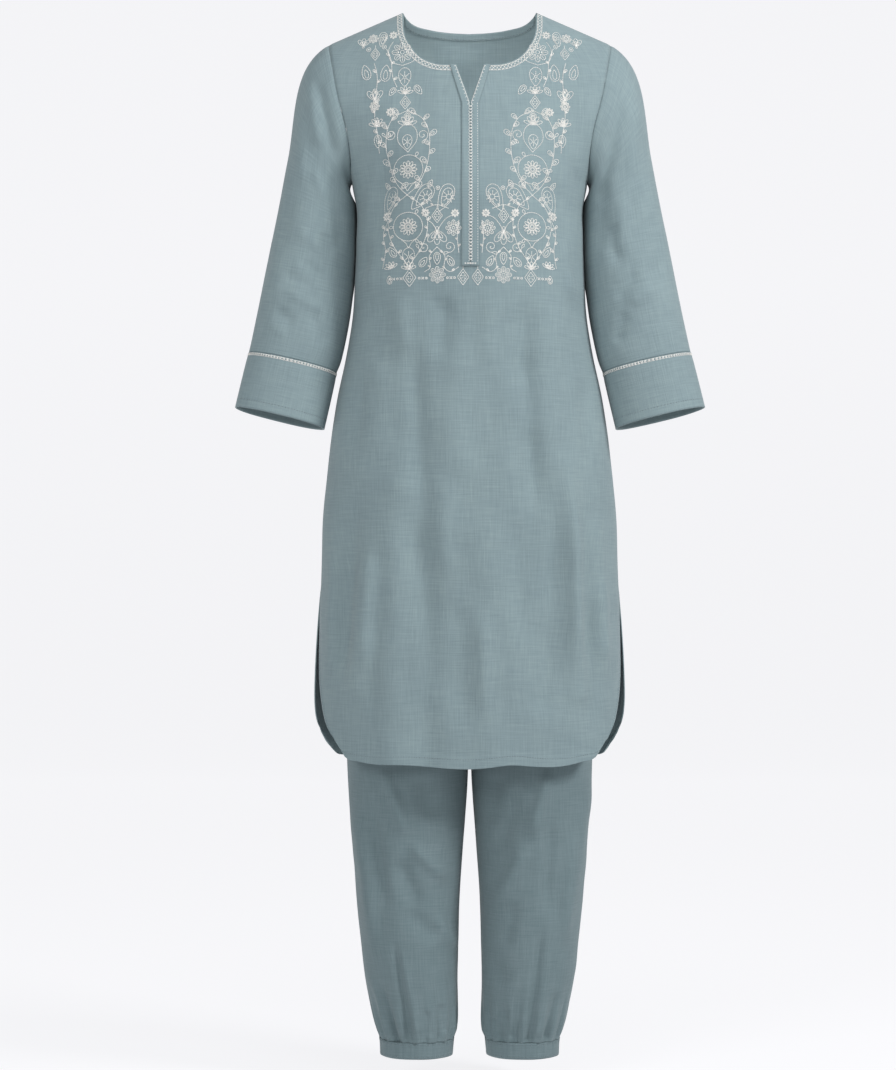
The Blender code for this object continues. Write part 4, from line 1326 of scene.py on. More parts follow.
    def _slit_line(self, hand: Hand) -> tuple[Array, Array]:
        """Places one side slit's row of stitches, parallel to its edge.

        Args:
            hand: the slit's side.

        Returns:
            The row's points and outward directions.
        """
        _, to_side = self._margins(self.cloth.points)
        rows = np.flatnonzero(self.rows >= 2.0)[:-6].astype(float)
        half = to_side.shape[1] // 2
        order = np.arange(half) if hand is Hand.LEFT else np.arange(to_side.shape[1] - 1, half, -1)
        inward = self.slit_turn - self.row_inset
        column = np.array([np.interp(inward, to_side[int(k), order], order) for k in rows])
        return self._even(rows, column)

    def _even(self, row: Array, column: Array) -> tuple[Array, Array]:
        """Spaces a line on the cloth by the stitch length.

        Args:
            row: the line's rows.
            column: its columns.

        Returns:
            The new points and their outward directions.
        """
        lengths = run_lengths(self.cloth.at(row, column)[0])
        places = np.arange(0.0, lengths[-1], self.stitch)
        return self.cloth.at(np.interp(places, lengths, row), np.interp(places, lengths, column))


def armhole_ring(half: int) -> Array:
    """Places points evenly round the right-hand armhole, from its top down the front and up the back.

    Args:
        half: the spaces down the front, and as many up the back.

    Returns:
        The ring's points.
    """
    rows = np.linspace(0.0, 1.0, 241)
    edge = np.array([float(COLUMNS)])
    down = resampled(kurta_grid(FRONT, edge, rows)[:, 0], half + 1)
    up = resampled(kurta_grid(BACK, edge, rows)[::-1, 0], half + 1)
    return np.concatenate([down, up[1:-1]])


def section_ring(sizes: dict[str, Array], row: int, angles: Array) -> Array:
    """Points of one sleeve section.

    Args:
        sizes: the sleeve's or cuff's table.
        row: the table's row.
        angles: from the outer side, round by the front to the inner side and on.

    Returns:
        The section's points.
    """
    outer = np.array([sizes["outer_x"][row], 0.0, -sizes["outer_drop"][row]])
    inner = np.array([sizes["inner_x"][row], 0.0, -sizes["inner_drop"][row]])
    centre = (outer + inner) / 2.0 + np.array([0.0, sizes["middle"][row], 0.0])
    ahead = sizes["half_depth"][row] * np.array([0.0, -1.0, sizes["tilt"][row]])
    side = rounded(np.cos(angles), SLEEVE_ROUND)[:, None] * (outer - inner) / 2.0
    return centre + side + rounded(np.sin(angles), SLEEVE_ROUND)[:, None] * ahead


def between_rings(rings: list[Array], steps: int) -> Array:
    """Fills smooth rings in between the given ones.

    Args:
        rings: the given rings.
        steps: the spaces from each to the next.

    Returns:
        All rings.
    """
    return curve_through(np.array(rings), np.arange((len(rings) - 1) * steps + 1) / steps)


def handed(points: Array, hand: Hand) -> Array:
    """The right-hand points, mirrored for the left hand."""
    return points * np.array([hand.value, 1.0, 1.0])


@dataclass
class Sleeve:
    """Set-in sleeve, from the armhole to the cuff seam, with the cuff and its white openwork seam."""

    hand: Hand
    half: int = 54  # columns of the front half, and of the back half
    cap_rows: int = 34
    rows: int = 11  # rows to each span of the sleeve table
    cuff_rows: int = 14
    flat: tuple[float, float] = (0.38, 0.44)
    filled: float = 0.78  # the sleeve's area as a share of its flat width by length
    cuff_flat: tuple[float, float] = (0.345, 0.077)
    pitch: float = 3.8  # of the openwork seam's stitches
    hem_pitch: float = 3.4
    leave_top: tuple[float, float, float] = (0.86, 0.0, -0.51)  # the cap's direction at the shoulder
    leave_low: tuple[float, float, float] = (0.80, 0.0, -0.60)  # the same at the underarm
    cap_pull: float = 0.36  # how far the cap keeps to its end directions, as a share of its span
    gap: float = 0.2  # between the armhole and the sleeve
    seam_depth: float = 0.8
    seam_half: float = 2.4
    tuck: float = 3.2  # how far the inner wall folds in behind the side seam
    tuck_y: float = 25.0  # the tuck's middle behind the garment's own
    tuck_half: float = 12.0
    tuck_drops: tuple[float, float] = (236.0, 400.0)  # between which the tuck lies

    def _grid(self) -> Array:
        """Middle surface of the right-hand sleeve, with this sleeve's folds.

        Returns:
            Points by ring and place.
        """
        angles = ring_angles(2 * self.half)
        armhole = armhole_ring(self.half)
        rings = [section_ring(SLEEVE, row, angles) for row in range(len(SLEEVE["tilt"]))]
        low = (1.0 - np.cos(angles))[:, None] / 2.0
        leave = unit((1.0 - low) * np.array(self.leave_top) + low * np.array(self.leave_low))
        arrive = unit(rings[1] - rings[0])
        span = np.linalg.norm(rings[0] - armhole, axis=1)[:, None] * self.cap_pull
        start = armhole + leave * self.gap
        shares = np.linspace(0.0, 1.0, self.cap_rows + 1) ** 1.2
        cap = []
        for t in shares[:-1]:
            near = 3.0 * (1.0 - t) ** 2 * t * (start + leave * span)
            far = 3.0 * (1.0 - t) * t**2 * (rings[0] - arrive * span)
            cap.append((1.0 - t) ** 3 * start + near + far + t**3 * rings[0])
        lower = between_rings(rings, self.rows)
        grid = np.concatenate([cap, lower])
        out = ring_out(grid)
        down = np.concatenate([shares[:-1] / 0.25, np.full(len(lower), 1.0)])
        rest = np.minimum(down, np.arange(len(grid))[::-1] / self.rows).clip(0.0, 1.0)
        for side in (FRONT, BACK):
            facing = np.clip(out[..., 1] * side * 1.6, 0.0, 1.0)
            height = fold_height(SLEEVE_FOLDS[self.hand], side, grid[..., 0], -grid[..., 2], 0.2)
            height += uneven(grid[..., 0] + 400.0 * self.hand.value, -grid[..., 2]) * 0.8
            grid = grid + out * (height * facing * rest[:, None])[..., None]
        grid[..., 0] -= self._underarm(grid, out)
        from_seam = np.linalg.norm(grid - grid[0], axis=-1)
        seam = self.seam_depth * np.exp(-((from_seam / self.seam_half) ** 2))
        return grid - out * seam[..., None]

    def _underarm(self, grid: Array, out: Array) -> Array:
        """How far the inner wall folds in toward the body behind the side seam, below the underarm.

        Args:
            grid: the sleeve's points.
            out: the outward directions there.

        Returns:
            The distances inward.
        """
        top, low = self.tuck_drops
        drop = -grid[..., 2]
        behind = np.exp(-(((grid[..., 1] - self.tuck_y) / self.tuck_half) ** 2))
        inward = np.clip(-out[..., 0], 0.0, 1.0)
        return self.tuck * behind * inward * ease((drop - top) / 30.0) * ease((low - drop) / 34.0)

    def build(self) -> None:
        name = self.hand.name.lower()
        grid = self._grid()
        out = handed(ring_out(grid), self.hand)
        cloth = ClothGrid(handed(grid, self.hand), out, wrap=True, shift=300.0 * self.hand.value)
        sleeve = settle(cloth.shell(f"sleeve_{name}_cloth", KURTA_LINEN), "kurta_cloth", "sleeve_" + name)
        cloth = self._cuff_cloth()
        shell = cloth.shell(f"cuff_{name}_cloth", KURTA_LINEN, CUFF_THICKNESS)
        cuff = settle(shell, "kurta_cloth", "cuff_" + name)
        openwork = self._openwork(cloth, f"cuff_{name}_openwork")
        run = StitchRun(width=0.8, height=0.3)
        run.round(cloth, 2.0 * self.cuff_rows - 4.2, self.hem_pitch, CUFF_THICKNESS / 2.0)
        hem = settle(run.piece(f"cuff_{name}_hem_stitches", SELF_THREAD), "kurta_cloth")

    def _cuff_cloth(self) -> ClothGrid:
        """Works out the cuff: a little drawn in where it laps the sleeve, and uneven round its edge.

        Returns:
            The cuff's cloth.
        """
        angles = ring_angles(2 * self.half)
        sections = [section_ring(CUFF, row, angles) for row in range(len(CUFF["tilt"]))]
        rings = between_rings(sections, self.cuff_rows)
        out = ring_out(rings)
        lap = np.exp(-(((np.arange(len(rings)) - 1.5) / 1.5) ** 2)) * 0.3
        wave = 0.5 * np.sin(5.0 * angles + self.hand.value) * np.linspace(0.2, 1.0, len(rings))[:, None]
        rings = rings + out * (wave - lap[:, None])[..., None]
        return ClothGrid(handed(rings, self.hand), handed(out, self.hand), wrap=True, shift=97.0)

    def _openwork(self, cloth: ClothGrid, name: str) -> bpy.types.Object:
        """Makes the white openwork seam: a row of crosses between two bars, round the top of the cuff.

        Args:
            cloth: the cuff's surface.
            name: the piece's name.

        Returns:
            The openwork.
        """
        run = StitchRun(width=0.85, height=0.45)
        count = int(round(cloth.girth / self.pitch))
        edge = np.linspace(0.0, 2.0 * self.half, count + 1)
        lift = CUFF_THICKNESS / 2.0 + 0.1
        upper, up_out = cloth.at(np.full(count + 1, 0.45), edge)
        lower, low_out = cloth.at(np.full(count + 1, 1.5), edge)
        upper = upper + up_out * lift
        lower = lower + low_out * lift
        run.along(upper, up_out, 0.85)
        run.along(lower, low_out, 0.85)
        run.add(upper[:-1], lower[1:], up_out[:-1])
        run.add(upper[1:], lower[:-1], up_out[1:])
        return settle(run.piece(name, WHITE_THREAD), "kurta_cloth")


def hip_point(side: int, share: Array, drop: float) -> tuple[Array, Array]:
    """Finds points of a quarter section of the trousers' hips.

    Args:
        side: FRONT or BACK.
        share: 0 at the centre seam to 1 at the side.
        drop: the section's distance down.

    Returns:
        Distances across and back.
    """
    angle = arc_angle(share, LEG_ROUND, HIP_REACH)
    x = smooth_through(HIP, "half_width", drop) * rounded(np.sin(angle), LEG_ROUND)
    return x, side * smooth_through(HIP, HALF_NAME[side], drop) * rounded(np.cos(angle), LEG_ROUND)


def leg_point(side: int, share: Array, drop: float) -> tuple[Array, Array]:
    """Finds points of a half section of a leg.

    Args:
        side: FRONT or BACK.
        share: 0 at the inseam to 1 at the outseam.
        drop: the section's distance down.

    Returns:
        Distances across and back.
    """
    near = np.minimum(share, 1.0 - share) * 2.0
    angle = math.pi / 2.0 - arc_angle(1.0 - near, LEG_ROUND, 1.0)
    angle = np.where(share > 0.5, math.pi - angle, angle)
    x = -smooth_through(LEG, "half_width", drop) * rounded(np.cos(angle), LEG_ROUND)
    y = side * smooth_through(LEG, "half_depth", drop) * rounded(np.sin(angle), LEG_ROUND)
    return smooth_through(LEG, "centre", drop) + x, y


@dataclass
class Leg:
    """One trouser leg: a front and a back panel, gathered into a cuff at the ankle."""

    hand: Hand
    columns: int = 96
    gathers: int = 8
    fine: tuple[float, ...] = (19.0, 1.15, 1305.0, 55.0)  # finer gathers: count, height, top and rise
    finest: tuple[float, ...] = (33.0, 0.6, 1336.0, 30.0)
    calf: float = 960.0  # drop below which the rows lie closer
    gathers_top: float = 1300.0  # drop below which they lie closest
    flat: tuple[float, float] = (0.30, 0.98)
    filled: float = 0.84  # a panel's area as a share of its flat width by length
    seam_depth: float = 0.7
    gap: float = 0.15  # from a seam to each panel's edge
    cuff_flat: tuple[float, float] = (0.32, 0.024)
    cuff_columns: int = 176
    cuff_rows: int = 10
    cuff_pitch: float = 3.2

    def _drops(self) -> Array:
        """Heights of a panel's rows, close together at the crotch curve and the ankle gathers.

        Returns:
            The rows' distances down.
        """
        rise = RISE_START + (CROTCH - RISE_START) * np.sin(np.linspace(0.0, math.pi / 2.0, 15))
        return np.concatenate(
            [
                np.linspace(WAIST_SEAM, RISE_START, 11)[:-1],
                rise,
                np.linspace(CROTCH, self.calf, 22)[1:-1],
                np.linspace(self.calf, self.gathers_top, 76)[:-1],
                np.linspace(self.gathers_top, ANKLE_SEAM - 0.3, 40),
            ]
        )

    def _panel(self, side: int) -> ClothGrid:
        """Works out one panel, with this leg's folds and gathers.

        Args:
            side: FRONT or BACK.

        Returns:
            The panel's cloth.
        """
        share = np.linspace(0.0, 1.0, self.columns + 1)
        drops = self._drops()
        plain = []
        for drop in drops:
            rise = min(max((drop - RISE_START) / (CROTCH - RISE_START), 0.0), 1.0)
            split = 1.0 - math.sqrt(1.0 - rise * rise)
            hip_x, hip_y = hip_point(side, share, drop)
            leg_x, leg_y = leg_point(side, share, drop)
            x = hip_x + (leg_x - hip_x) * split
            y = hip_y + (leg_y - hip_y) * split
            plain.append(level_ring(x, y, drop))
        plain = np.array(plain)
        out = -side * normals_of(plain)
        edge = ease(np.minimum(share, 1.0 - share) / 0.08)
        fall = drops[:, None]
        height = fold_height(LEG_FOLDS[self.hand], side, plain[..., 0], fall, 0.28) * edge
        height += uneven(plain[..., 0] + 700.0 * self.hand.value, fall + 90.0 * side) * edge * 0.9
        height += self._gathered(side, share, fall)
        to_seam = np.minimum(share, 1.0 - share) * 250.0
        height -= self.seam_depth * np.exp(-((to_seam / SEAM_HALF) ** 2))
        grid = plain + out * height[..., None]
        out = -side * normals_of(grid)
        out[:, -1] = (1.0, 0.0, 0.0)
        slope = np.gradient(plain[:, 0], axis=0)
        seam = unit(np.stack([0.0 * drops, -side * slope[:, 2], side * slope[:, 1]], -1))
        out[:, 0] = np.where((drops < CROTCH)[:, None], seam, np.array([-1.0, 0.0, 0.0]))
        grid[:, -1, 1] = side * self.gap
        grid[:, 0, 0] = np.where(drops < CROTCH, self.gap, grid[:, 0, 0])
        grid[:, 0, 1] = np.where(drops < CROTCH, grid[:, 0, 1], side * self.gap)
        shift = 150.0 * self.hand.value + side * 31.0
        return ClothGrid(handed(grid, self.hand), handed(out, self.hand), upright=True, shift=shift)

    def _gathered(self, side: int, share: Array, fall: Array) -> Array:
        """Height of the gathers above the ankle seam: broad ones, with finer and shorter ones between.

        Args:
            side: FRONT or BACK.
            share: 0 at the inseam to 1 at the outseam.
            fall: distances down.

        Returns:
            The heights outward.
        """
        turn = 2.0 * math.pi * share
        phase = self.hand.value * 0.9 + side * 0.5
        depth = np.interp(fall, GATHER_DEPTH["drop"], GATHER_DEPTH["depth"])
        count, height, top, rise = self.fine
        fine = height * np.sin(count * turn + phase) * (0.6 + 0.4 * np.sin(5.0 * turn + 2.0 * phase))
        fine = fine * ease((fall - top) / rise)
        count, height, top, rise = self.finest
        finest = height * np.sin(count * turn - phase) * ease((fall - top) / rise)
        hold = 0.3 + 0.7 * ease((ANKLE_SEAM - fall) / 10.0)
        return depth * np.cos(self.gathers * turn) + hold * (fine + finest)

    def build(self) -> None:
        name = self.hand.name.lower()
        for side in Side:
            node = f"leg_{side.name.lower()}_{name}"
            shell = self._panel(side.value).shell(node + "_cloth", TROUSER_LINEN)
            panel = settle(shell, "trouser_cloth", node)
        self._ankle_cuff(name)

    def _ankle_cuff(self, name: str) -> None:
        """Makes the doubled ankle cuff with its two rows of stitches.

        Args:
            name: left or right.
        """
        share = np.linspace(0.0, 1.0, self.cuff_columns // 2 + 1)
        rings = []
        for drop in np.linspace(ANKLE_SEAM, ANKLE_HEM, self.cuff_rows + 1):
            front_x, front_y = leg_point(FRONT, share, drop)
            back_x, back_y = leg_point(BACK, share[::-1], drop)
            x = np.concatenate([front_x, back_x[1:-1]])
            y = np.concatenate([front_y, back_y[1:-1]])
            rings.append(level_ring(x, y, drop))
        rings = np.array(rings)
        out = ring_out(rings)
        turn = ring_angles(self.cuff_columns)
        pucker = np.linspace(1.0, 0.25, self.cuff_rows + 1)[:, None]
        wave = 0.35 * np.sin(38.0 * turn) * pucker + 0.3 * np.sin(7.0 * turn + self.hand.value)
        rings = rings + out * wave[..., None]
        cloth = ClothGrid(handed(rings, self.hand), handed(out, self.hand), wrap=True, shift=41.0)
        shell = cloth.shell(f"ankle_cuff_{name}_cloth", TROUSER_LINEN, CUFF_THICKNESS)
        cuff = settle(shell, "trouser_cloth", "ankle_cuff_" + name)
        run = StitchRun(width=0.8, height=0.3)
        for row in (1.2, self.cuff_rows - 1.4):
            run.round(cloth, row, self.cuff_pitch, CUFF_THICKNESS / 2.0)
        stitches = settle(run.piece(f"ankle_cuff_{name}_stitches", SELF_THREAD), "trouser_cloth")


@dataclass
class Waistband:
    """Elasticated waistband of the trousers: a doubled casing puckered all round."""

    columns: int = 288
    rows: int = 8
    puckers: int = 58
    thickness: float = 2.4
    flat: tuple[float, float] = (0.76, 0.026)

    def build(self) -> None:
        """Makes the waistband."""
        share = np.linspace(0.0, 1.0, self.columns // 4 + 1)
        rings = []
        for drop in np.linspace(WAIST_TOP, WAIST_SEAM - 0.3, self.rows + 1):
            front_x, front_y = hip_point(FRONT, share, drop)
            back_x, back_y = hip_point(BACK, share, drop)
            x = np.concatenate([front_x[::-1], -front_x[1:], -back_x[::-1][1:], back_x[1:-1]])
            y = np.concatenate([front_y[::-1], front_y[1:], back_y[::-1][1:], back_y[1:-1]])
            rings.append(level_ring(x, y, drop))
        rings = np.array(rings)
        out = ring_out(rings)
        turn = ring_angles(self.columns)
        wave = 0.6 * np.sin(self.puckers * turn) * (0.7 + 0.3 * np.sin(9.0 * turn))
        cloth = ClothGrid(rings + out * wave[:, None], out, wrap=True)
        shell = cloth.shell("waistband_cloth", TROUSER_LINEN, self.thickness)
        band = settle(shell, "trouser_cloth", "waistband")


@dataclass
class NeckFacing:
    """Narrow facing that is folded to the inside of the back neckline."""

    half_columns: float = 6.9
    rows: int = 6
    depth: float = 0.04  # in rows of the back panel's grid
    thickness: float = 0.8
    gap: float = 1.15
    flat: tuple[float, float] = (0.16, 0.012)

    def build(self) -> None:
        """Makes the facing with its matching stitches."""
        columns = np.linspace(-self.half_columns, self.half_columns, 138)
        grid = kurta_grid(BACK, columns, np.linspace(0.0, self.depth, self.rows + 1))
        out = -normals_of(grid)
        cloth = ClothGrid(grid - out * self.gap, out, upright=True, shift=19.0)
        shell = cloth.shell("back_neck_facing_cloth", KURTA_LINEN, self.thickness)
        facing = settle(shell, "kurta_cloth", "back_neck_facing")
        run = StitchRun(width=0.8, height=0.3)
        edge = np.linspace(0.5, len(columns) - 1.5, 48)
        points, face = cloth.at(np.full(len(edge), self.rows - 1.2), edge)
        run.along(points - face * (self.thickness / 2.0), -face, 0.7)
        stitches = settle(run.piece("back_neck_facing_stitches", SELF_THREAD), "kurta_cloth")


@dataclass
class Placket:
    """Band sewn up the front over the neck slit, with its white needlework."""

    end: float = 351.0  # drop of its lower end
    top: float = 82.2  # drop of its arms' upper ends
    half: float = 11.0  # width of one half
    arm: float = 8.5  # width of an arm at the neckline
    thickness: float = 0.8
    lift: float = 1.35  # over the front's middle layer
    flat: tuple[float, float] = (0.03, 0.27)
    area: float = 0.0064
    stitch: float = 3.4
    arm_stitch: float = 2.4
    zigzag_half: float = 3.5
    zigzag_pitch: float = 4.3

    def _edges(self, drop: Array) -> tuple[Array, Array]:
        """Finds the edges of the right-hand half.

        Args:
            drop: distances down.

        Returns:
            The inner and the outer edge's distance across.
        """
        open_share = np.clip((SLIT_END - drop) / (SLIT_END - FRONT_NECK["drop"][0]), 0.0, 1.0)
        inner = FRONT_NECK["across"][0] * open_share + 0.25
        return inner, inner + self.half + (self.arm - self.half) * open_share

    def _half_band(self, hand: Hand) -> bpy.types.Object:
        """Makes one half of the band, from its lower end up to the neckline.

        Args:
            hand: the half's side.

        Returns:
            The half.
        """
        drop = np.concatenate([np.linspace(self.end, SLIT_END, 74), np.linspace(SLIT_END, self.top, 22)[1:]])
        inner, outer = self._edges(drop)
        share = np.linspace(0.0, 1.0, 9)[None, :]
        x = (inner[:, None] + (outer - inner)[:, None] * share) * hand.value
        fall = np.broadcast_to(drop[:, None], x.shape)
        edge = 0.35 * (1.0 - np.exp(-((np.minimum(share, 1.0 - share) / 0.12) ** 2)))
        points, out = on_front(x, fall, self.lift - 0.2)
        cloth = ClothGrid(points + out * edge[..., None], out, upright=True, shift=511.0)
        return cloth.shell(f"placket_half_{hand.name.lower()}", KURTA_LINEN, self.thickness)

    def build(self) -> None:
        """Makes the band and its stitches."""
        band = join("placket_cloth", [self._half_band(hand) for hand in Hand])
        settle(band, "kurta_cloth", "placket")
        sewn = self._needlework()

    def _needlework(self) -> tuple[bpy.types.Object, bpy.types.Object]:
        """Makes the placket's stitches.

        Returns:
            The crossed zigzags with their end bar, and the running stitches beside them.
        """
        run = StitchRun(width=1.1, height=0.55)
        top = self.lift + self.thickness / 2.0
        drop = np.arange(SLIT_END + 3.0, self.end - 4.0, self.zigzag_pitch)
        swing = self.zigzag_half * np.where(np.arange(len(drop)) % 2 == 0, -1.0, 1.0)
        for way in (1.0, -1.0):
            points, out = on_front(0.4 + way * swing, drop, top)
            run.along(points, out, 0.98)
        fine = StitchRun(width=0.8, height=0.4)
        fall = np.arange(SLIT_END, self.end - 2.0, self.stitch)
        _, outer = self._edges(fall)
        points, out = on_front(outer - 1.8, fall, top)
        fine.along(points, out, 0.6)
        for hand in Hand:
            fall = np.arange(self.top + 1.8, SLIT_END + 3.0, self.arm_stitch)
            inner, _ = self._edges(fall)
            points, out = on_front(hand.value * (inner + 1.3), fall, top)
            run.along(points, out, 0.9)
            cross, out = on_front(hand.value * (inner + 3.6), fall + self.arm_stitch / 2.0, top)
            run.add(points[::2][: len(cross[::2])], cross[::2], out[::2])
        for drop_of_bar in np.arange(self.end - 4.2, self.end - 2.0, 1.1):
            x = np.linspace(-self.half + 3.0, self.half - 3.0, 6)
            points, out = on_front(x, np.full(len(x), drop_of_bar), top)
            run.along(points, out, 0.95)
        running = settle(fine.piece("placket_running_stitches", WHITE_THREAD), "kurta_cloth")
        return settle(run.piece("placket_needlework", WHITE_THREAD), "kurta_cloth"), running


def join(name: str, pieces: list[bpy.types.Object]) -> bpy.types.Object:
    """Joins meshes into one piece.

    Args:
        name: the piece's name.
        pieces: the meshes' objects.

    Returns:
        The first of them, which holds all.
    """
    with bpy.context.temp_override(
        active_object=pieces[0], object=pieces[0], selected_editable_objects=pieces, selected_objects=pieces
    ):
        bpy.ops.object.join()
    pieces[0].name = name
    pieces[0].data.name = name
    return pieces[0]


class Motif(Enum):
    """Ordinary embroidery shapes, each a few sewn lines."""

    FLOWER = "flower"
    MEDALLION = "medallion"
    DIAMOND = "diamond"
    DROP = "drop"
    PAISLEY = "paisley"
    SCROLL = "scroll"
    BUD = "bud"
    FAN = "fan"
    RING = "ring"
    OVAL = "oval"


def petal(length: float, width: float, turn: float = 0.0, start: float = 0.0) -> Array:
    """Outline of a petal.

    Args:
        length: from its point to its round end.
        width: at its widest.
        turn: the direction it points in, in degrees clockwise from straight down.
        start: the distance of its point from the centre.

    Returns:
        Points across and down.
    """
    angle = np.linspace(0.0, 2.0 * math.pi, 25)
    along = start + length * (1.0 - np.cos(angle)) / 2.0
    across = width / 2.0 * np.sin(angle) * np.abs(np.sin(angle / 2.0)) ** 0.6 * 1.15
    return turned(np.stack([across, along], -1), turn)


def turned(points: Array, degrees: float) -> Array:
    """Turns a drawing about its centre.

    Args:
        points: its points across and down.
        degrees: how far, clockwise as the viewer sees it.

    Returns:
        The turned points.
    """
    angle = math.radians(degrees)
    across = points[:, 0] * math.cos(angle) - points[:, 1] * math.sin(angle)
    along = points[:, 0] * math.sin(angle) + points[:, 1] * math.cos(angle)
    return np.stack([across, along], -1)


def circle(radius: float, squash: float = 1.0) -> Array:
    """Outline of a circle or an oval.

    Args:
        radius: half its width.
        squash: its height as a share of its width.

    Returns:
        Points across and down.
    """
    angle = np.linspace(0.0, 2.0 * math.pi, 33)
    return np.stack([radius * np.sin(angle), radius * squash * np.cos(angle)], -1)


def rosette(count: int, length: float, width: float, start: float, phase: float = 0.0) -> list[Array]:
    """Petals all round a centre.

    Args:
        count: the number of petals.
        length: each petal's length.
        width: each petal's width.
        start: the distance of their points from the centre.
        phase: the first petal's direction in degrees.

    Returns:
        One outline for each petal.
    """
    return [petal(length, width, phase + 360.0 * k / count, start) for k in range(count)]


def paisley(size: float) -> Array:
    """Outline of a drop whose point curls to one side.

    Args:
        size: its height.

    Returns:
        Points across and down.
    """
    outline = petal(size, size * 0.62)
    bend = np.clip(1.0 - outline[:, 1] / size, 0.0, 1.0) ** 2
    return np.stack([outline[:, 0] + size * 0.42 * bend, size - outline[:, 1] - size / 2.0], -1)


def spiral(size: float, rounds: float) -> Array:
    """A scroll that curls in from its tail.

    Args:
        size: the distance of its tail from the centre.
        rounds: how many times it goes round.

    Returns:
        Points across and down.
    """
    share = np.linspace(0.0, 1.0, 30)
    angle = share * rounds * 2.0 * math.pi
    radius = size * (1.0 - share) ** 0.8
    return np.stack([radius * np.cos(angle), radius * np.sin(angle)], -1)


def spokes(count: int, start: float, end: float, phase: float = 0.0) -> list[Array]:
    """Straight stitches out from a centre.

    Args:
        count: how many.
        start: the distance they start at.
        end: the distance they end at.
        phase: the first one's direction in degrees.

    Returns:
        One line for each.
    """
    line = np.array([(0.0, start), (0.0, end)])
    return [turned(line, phase + 360.0 * k / count) for k in range(count)]


def motif_lines(motif: Motif, size: float) -> list[Array]:
    """Draws a motif.

    Args:
        motif: which one.
        size: its half height in millimetres.

    Returns:
        Its sewn lines, in millimetres across and down from its centre.
    """
    if motif is Motif.FLOWER:
        petals = rosette(8, size * 0.66, size * 0.46, size * 0.32)
        return [circle(size * 0.2)] + petals + spokes(8, size * 0.3, size * 0.85)
    if motif is Motif.MEDALLION:
        tip = np.array([(-0.5, 0.88), (-0.2, 1.12), (0.0, 1.5), (0.2, 1.12), (0.5, 0.88)]) * size
        petals = rosette(12, size * 0.4, size * 0.17, size * 0.22) + spokes(12, size * 0.1, size * 0.5, 15.0)
        foot = rosette(3, size * 0.34, size * 0.2, size, 150.0)
        return [circle(size), circle(size * 0.12), tip] + petals + foot
    if motif is Motif.DIAMOND:
        outline = np.array([(0.0, -1.0), (0.72, 0.0), (0.0, 1.0), (-0.72, 0.0), (0.0, -1.0)]) * size
        cross = spokes(4, size * 0.08, size * 0.3, 45.0)
        return [outline, outline * 0.62, np.array([(0.0, -1.5), (0.0, -1.05)]) * size] + cross
    if motif is Motif.DROP:
        inner = petal(size * 1.2, size * 0.5) - [0.0, size * 0.4]
        return [petal(size * 2.0, size * 1.15) - [0.0, size], inner]
    if motif is Motif.PAISLEY:
        veins = [turned(line, 20.0) * 0.8 for line in spokes(9, size * 0.25, size * 0.62)]
        return [paisley(size * 2.0), paisley(size * 1.45) * 0.95, circle(size * 0.2)] + veins
    if motif is Motif.SCROLL:
        return [spiral(size, 1.5), petal(size * 0.9, size * 0.45, 200.0) + [size, 0.0]]
    if motif is Motif.BUD:
        sides = [petal(size * 1.6, size * 0.7, turn) + [0.0, -size * 0.7] for turn in (-38.0, 0.0, 38.0)]
        inner = [petal(size * 1.0, size * 0.34, turn) + [0.0, -size * 0.6] for turn in (-38.0, 0.0, 38.0)]
        return sides + inner + [circle(size * 0.22) - [0.0, size * 0.9]]
    if motif is Motif.FAN:
        outer = [petal(size * 1.4, size * 0.44, turn) for turn in (-112.0, -146.0, 180.0, 146.0, 112.0)]
        return outer + [petal(size * 0.9, size * 0.3, turn) for turn in (-129.0, -163.0, 163.0, 129.0)]
    if motif is Motif.OVAL:
        rib = np.array([(0.0, 0.2), (0.0, 0.62)]) * size
        ribs = [turned(rib, turn) for turn in (0.0, 50.0, -50.0, 130.0, -130.0, 180.0)]
        return [petal(size * 2.0, size * 1.3, 180.0) + [0.0, size], circle(size * 0.16)] + ribs
    return [circle(size), circle(size * 0.4)]


@dataclass(frozen=True)
class Placed:
    """One motif on the right half of the yoke, which is mirrored on the left."""

    motif: Motif
    x: float
    drop: float
    size: float
    turn: float = 0.0


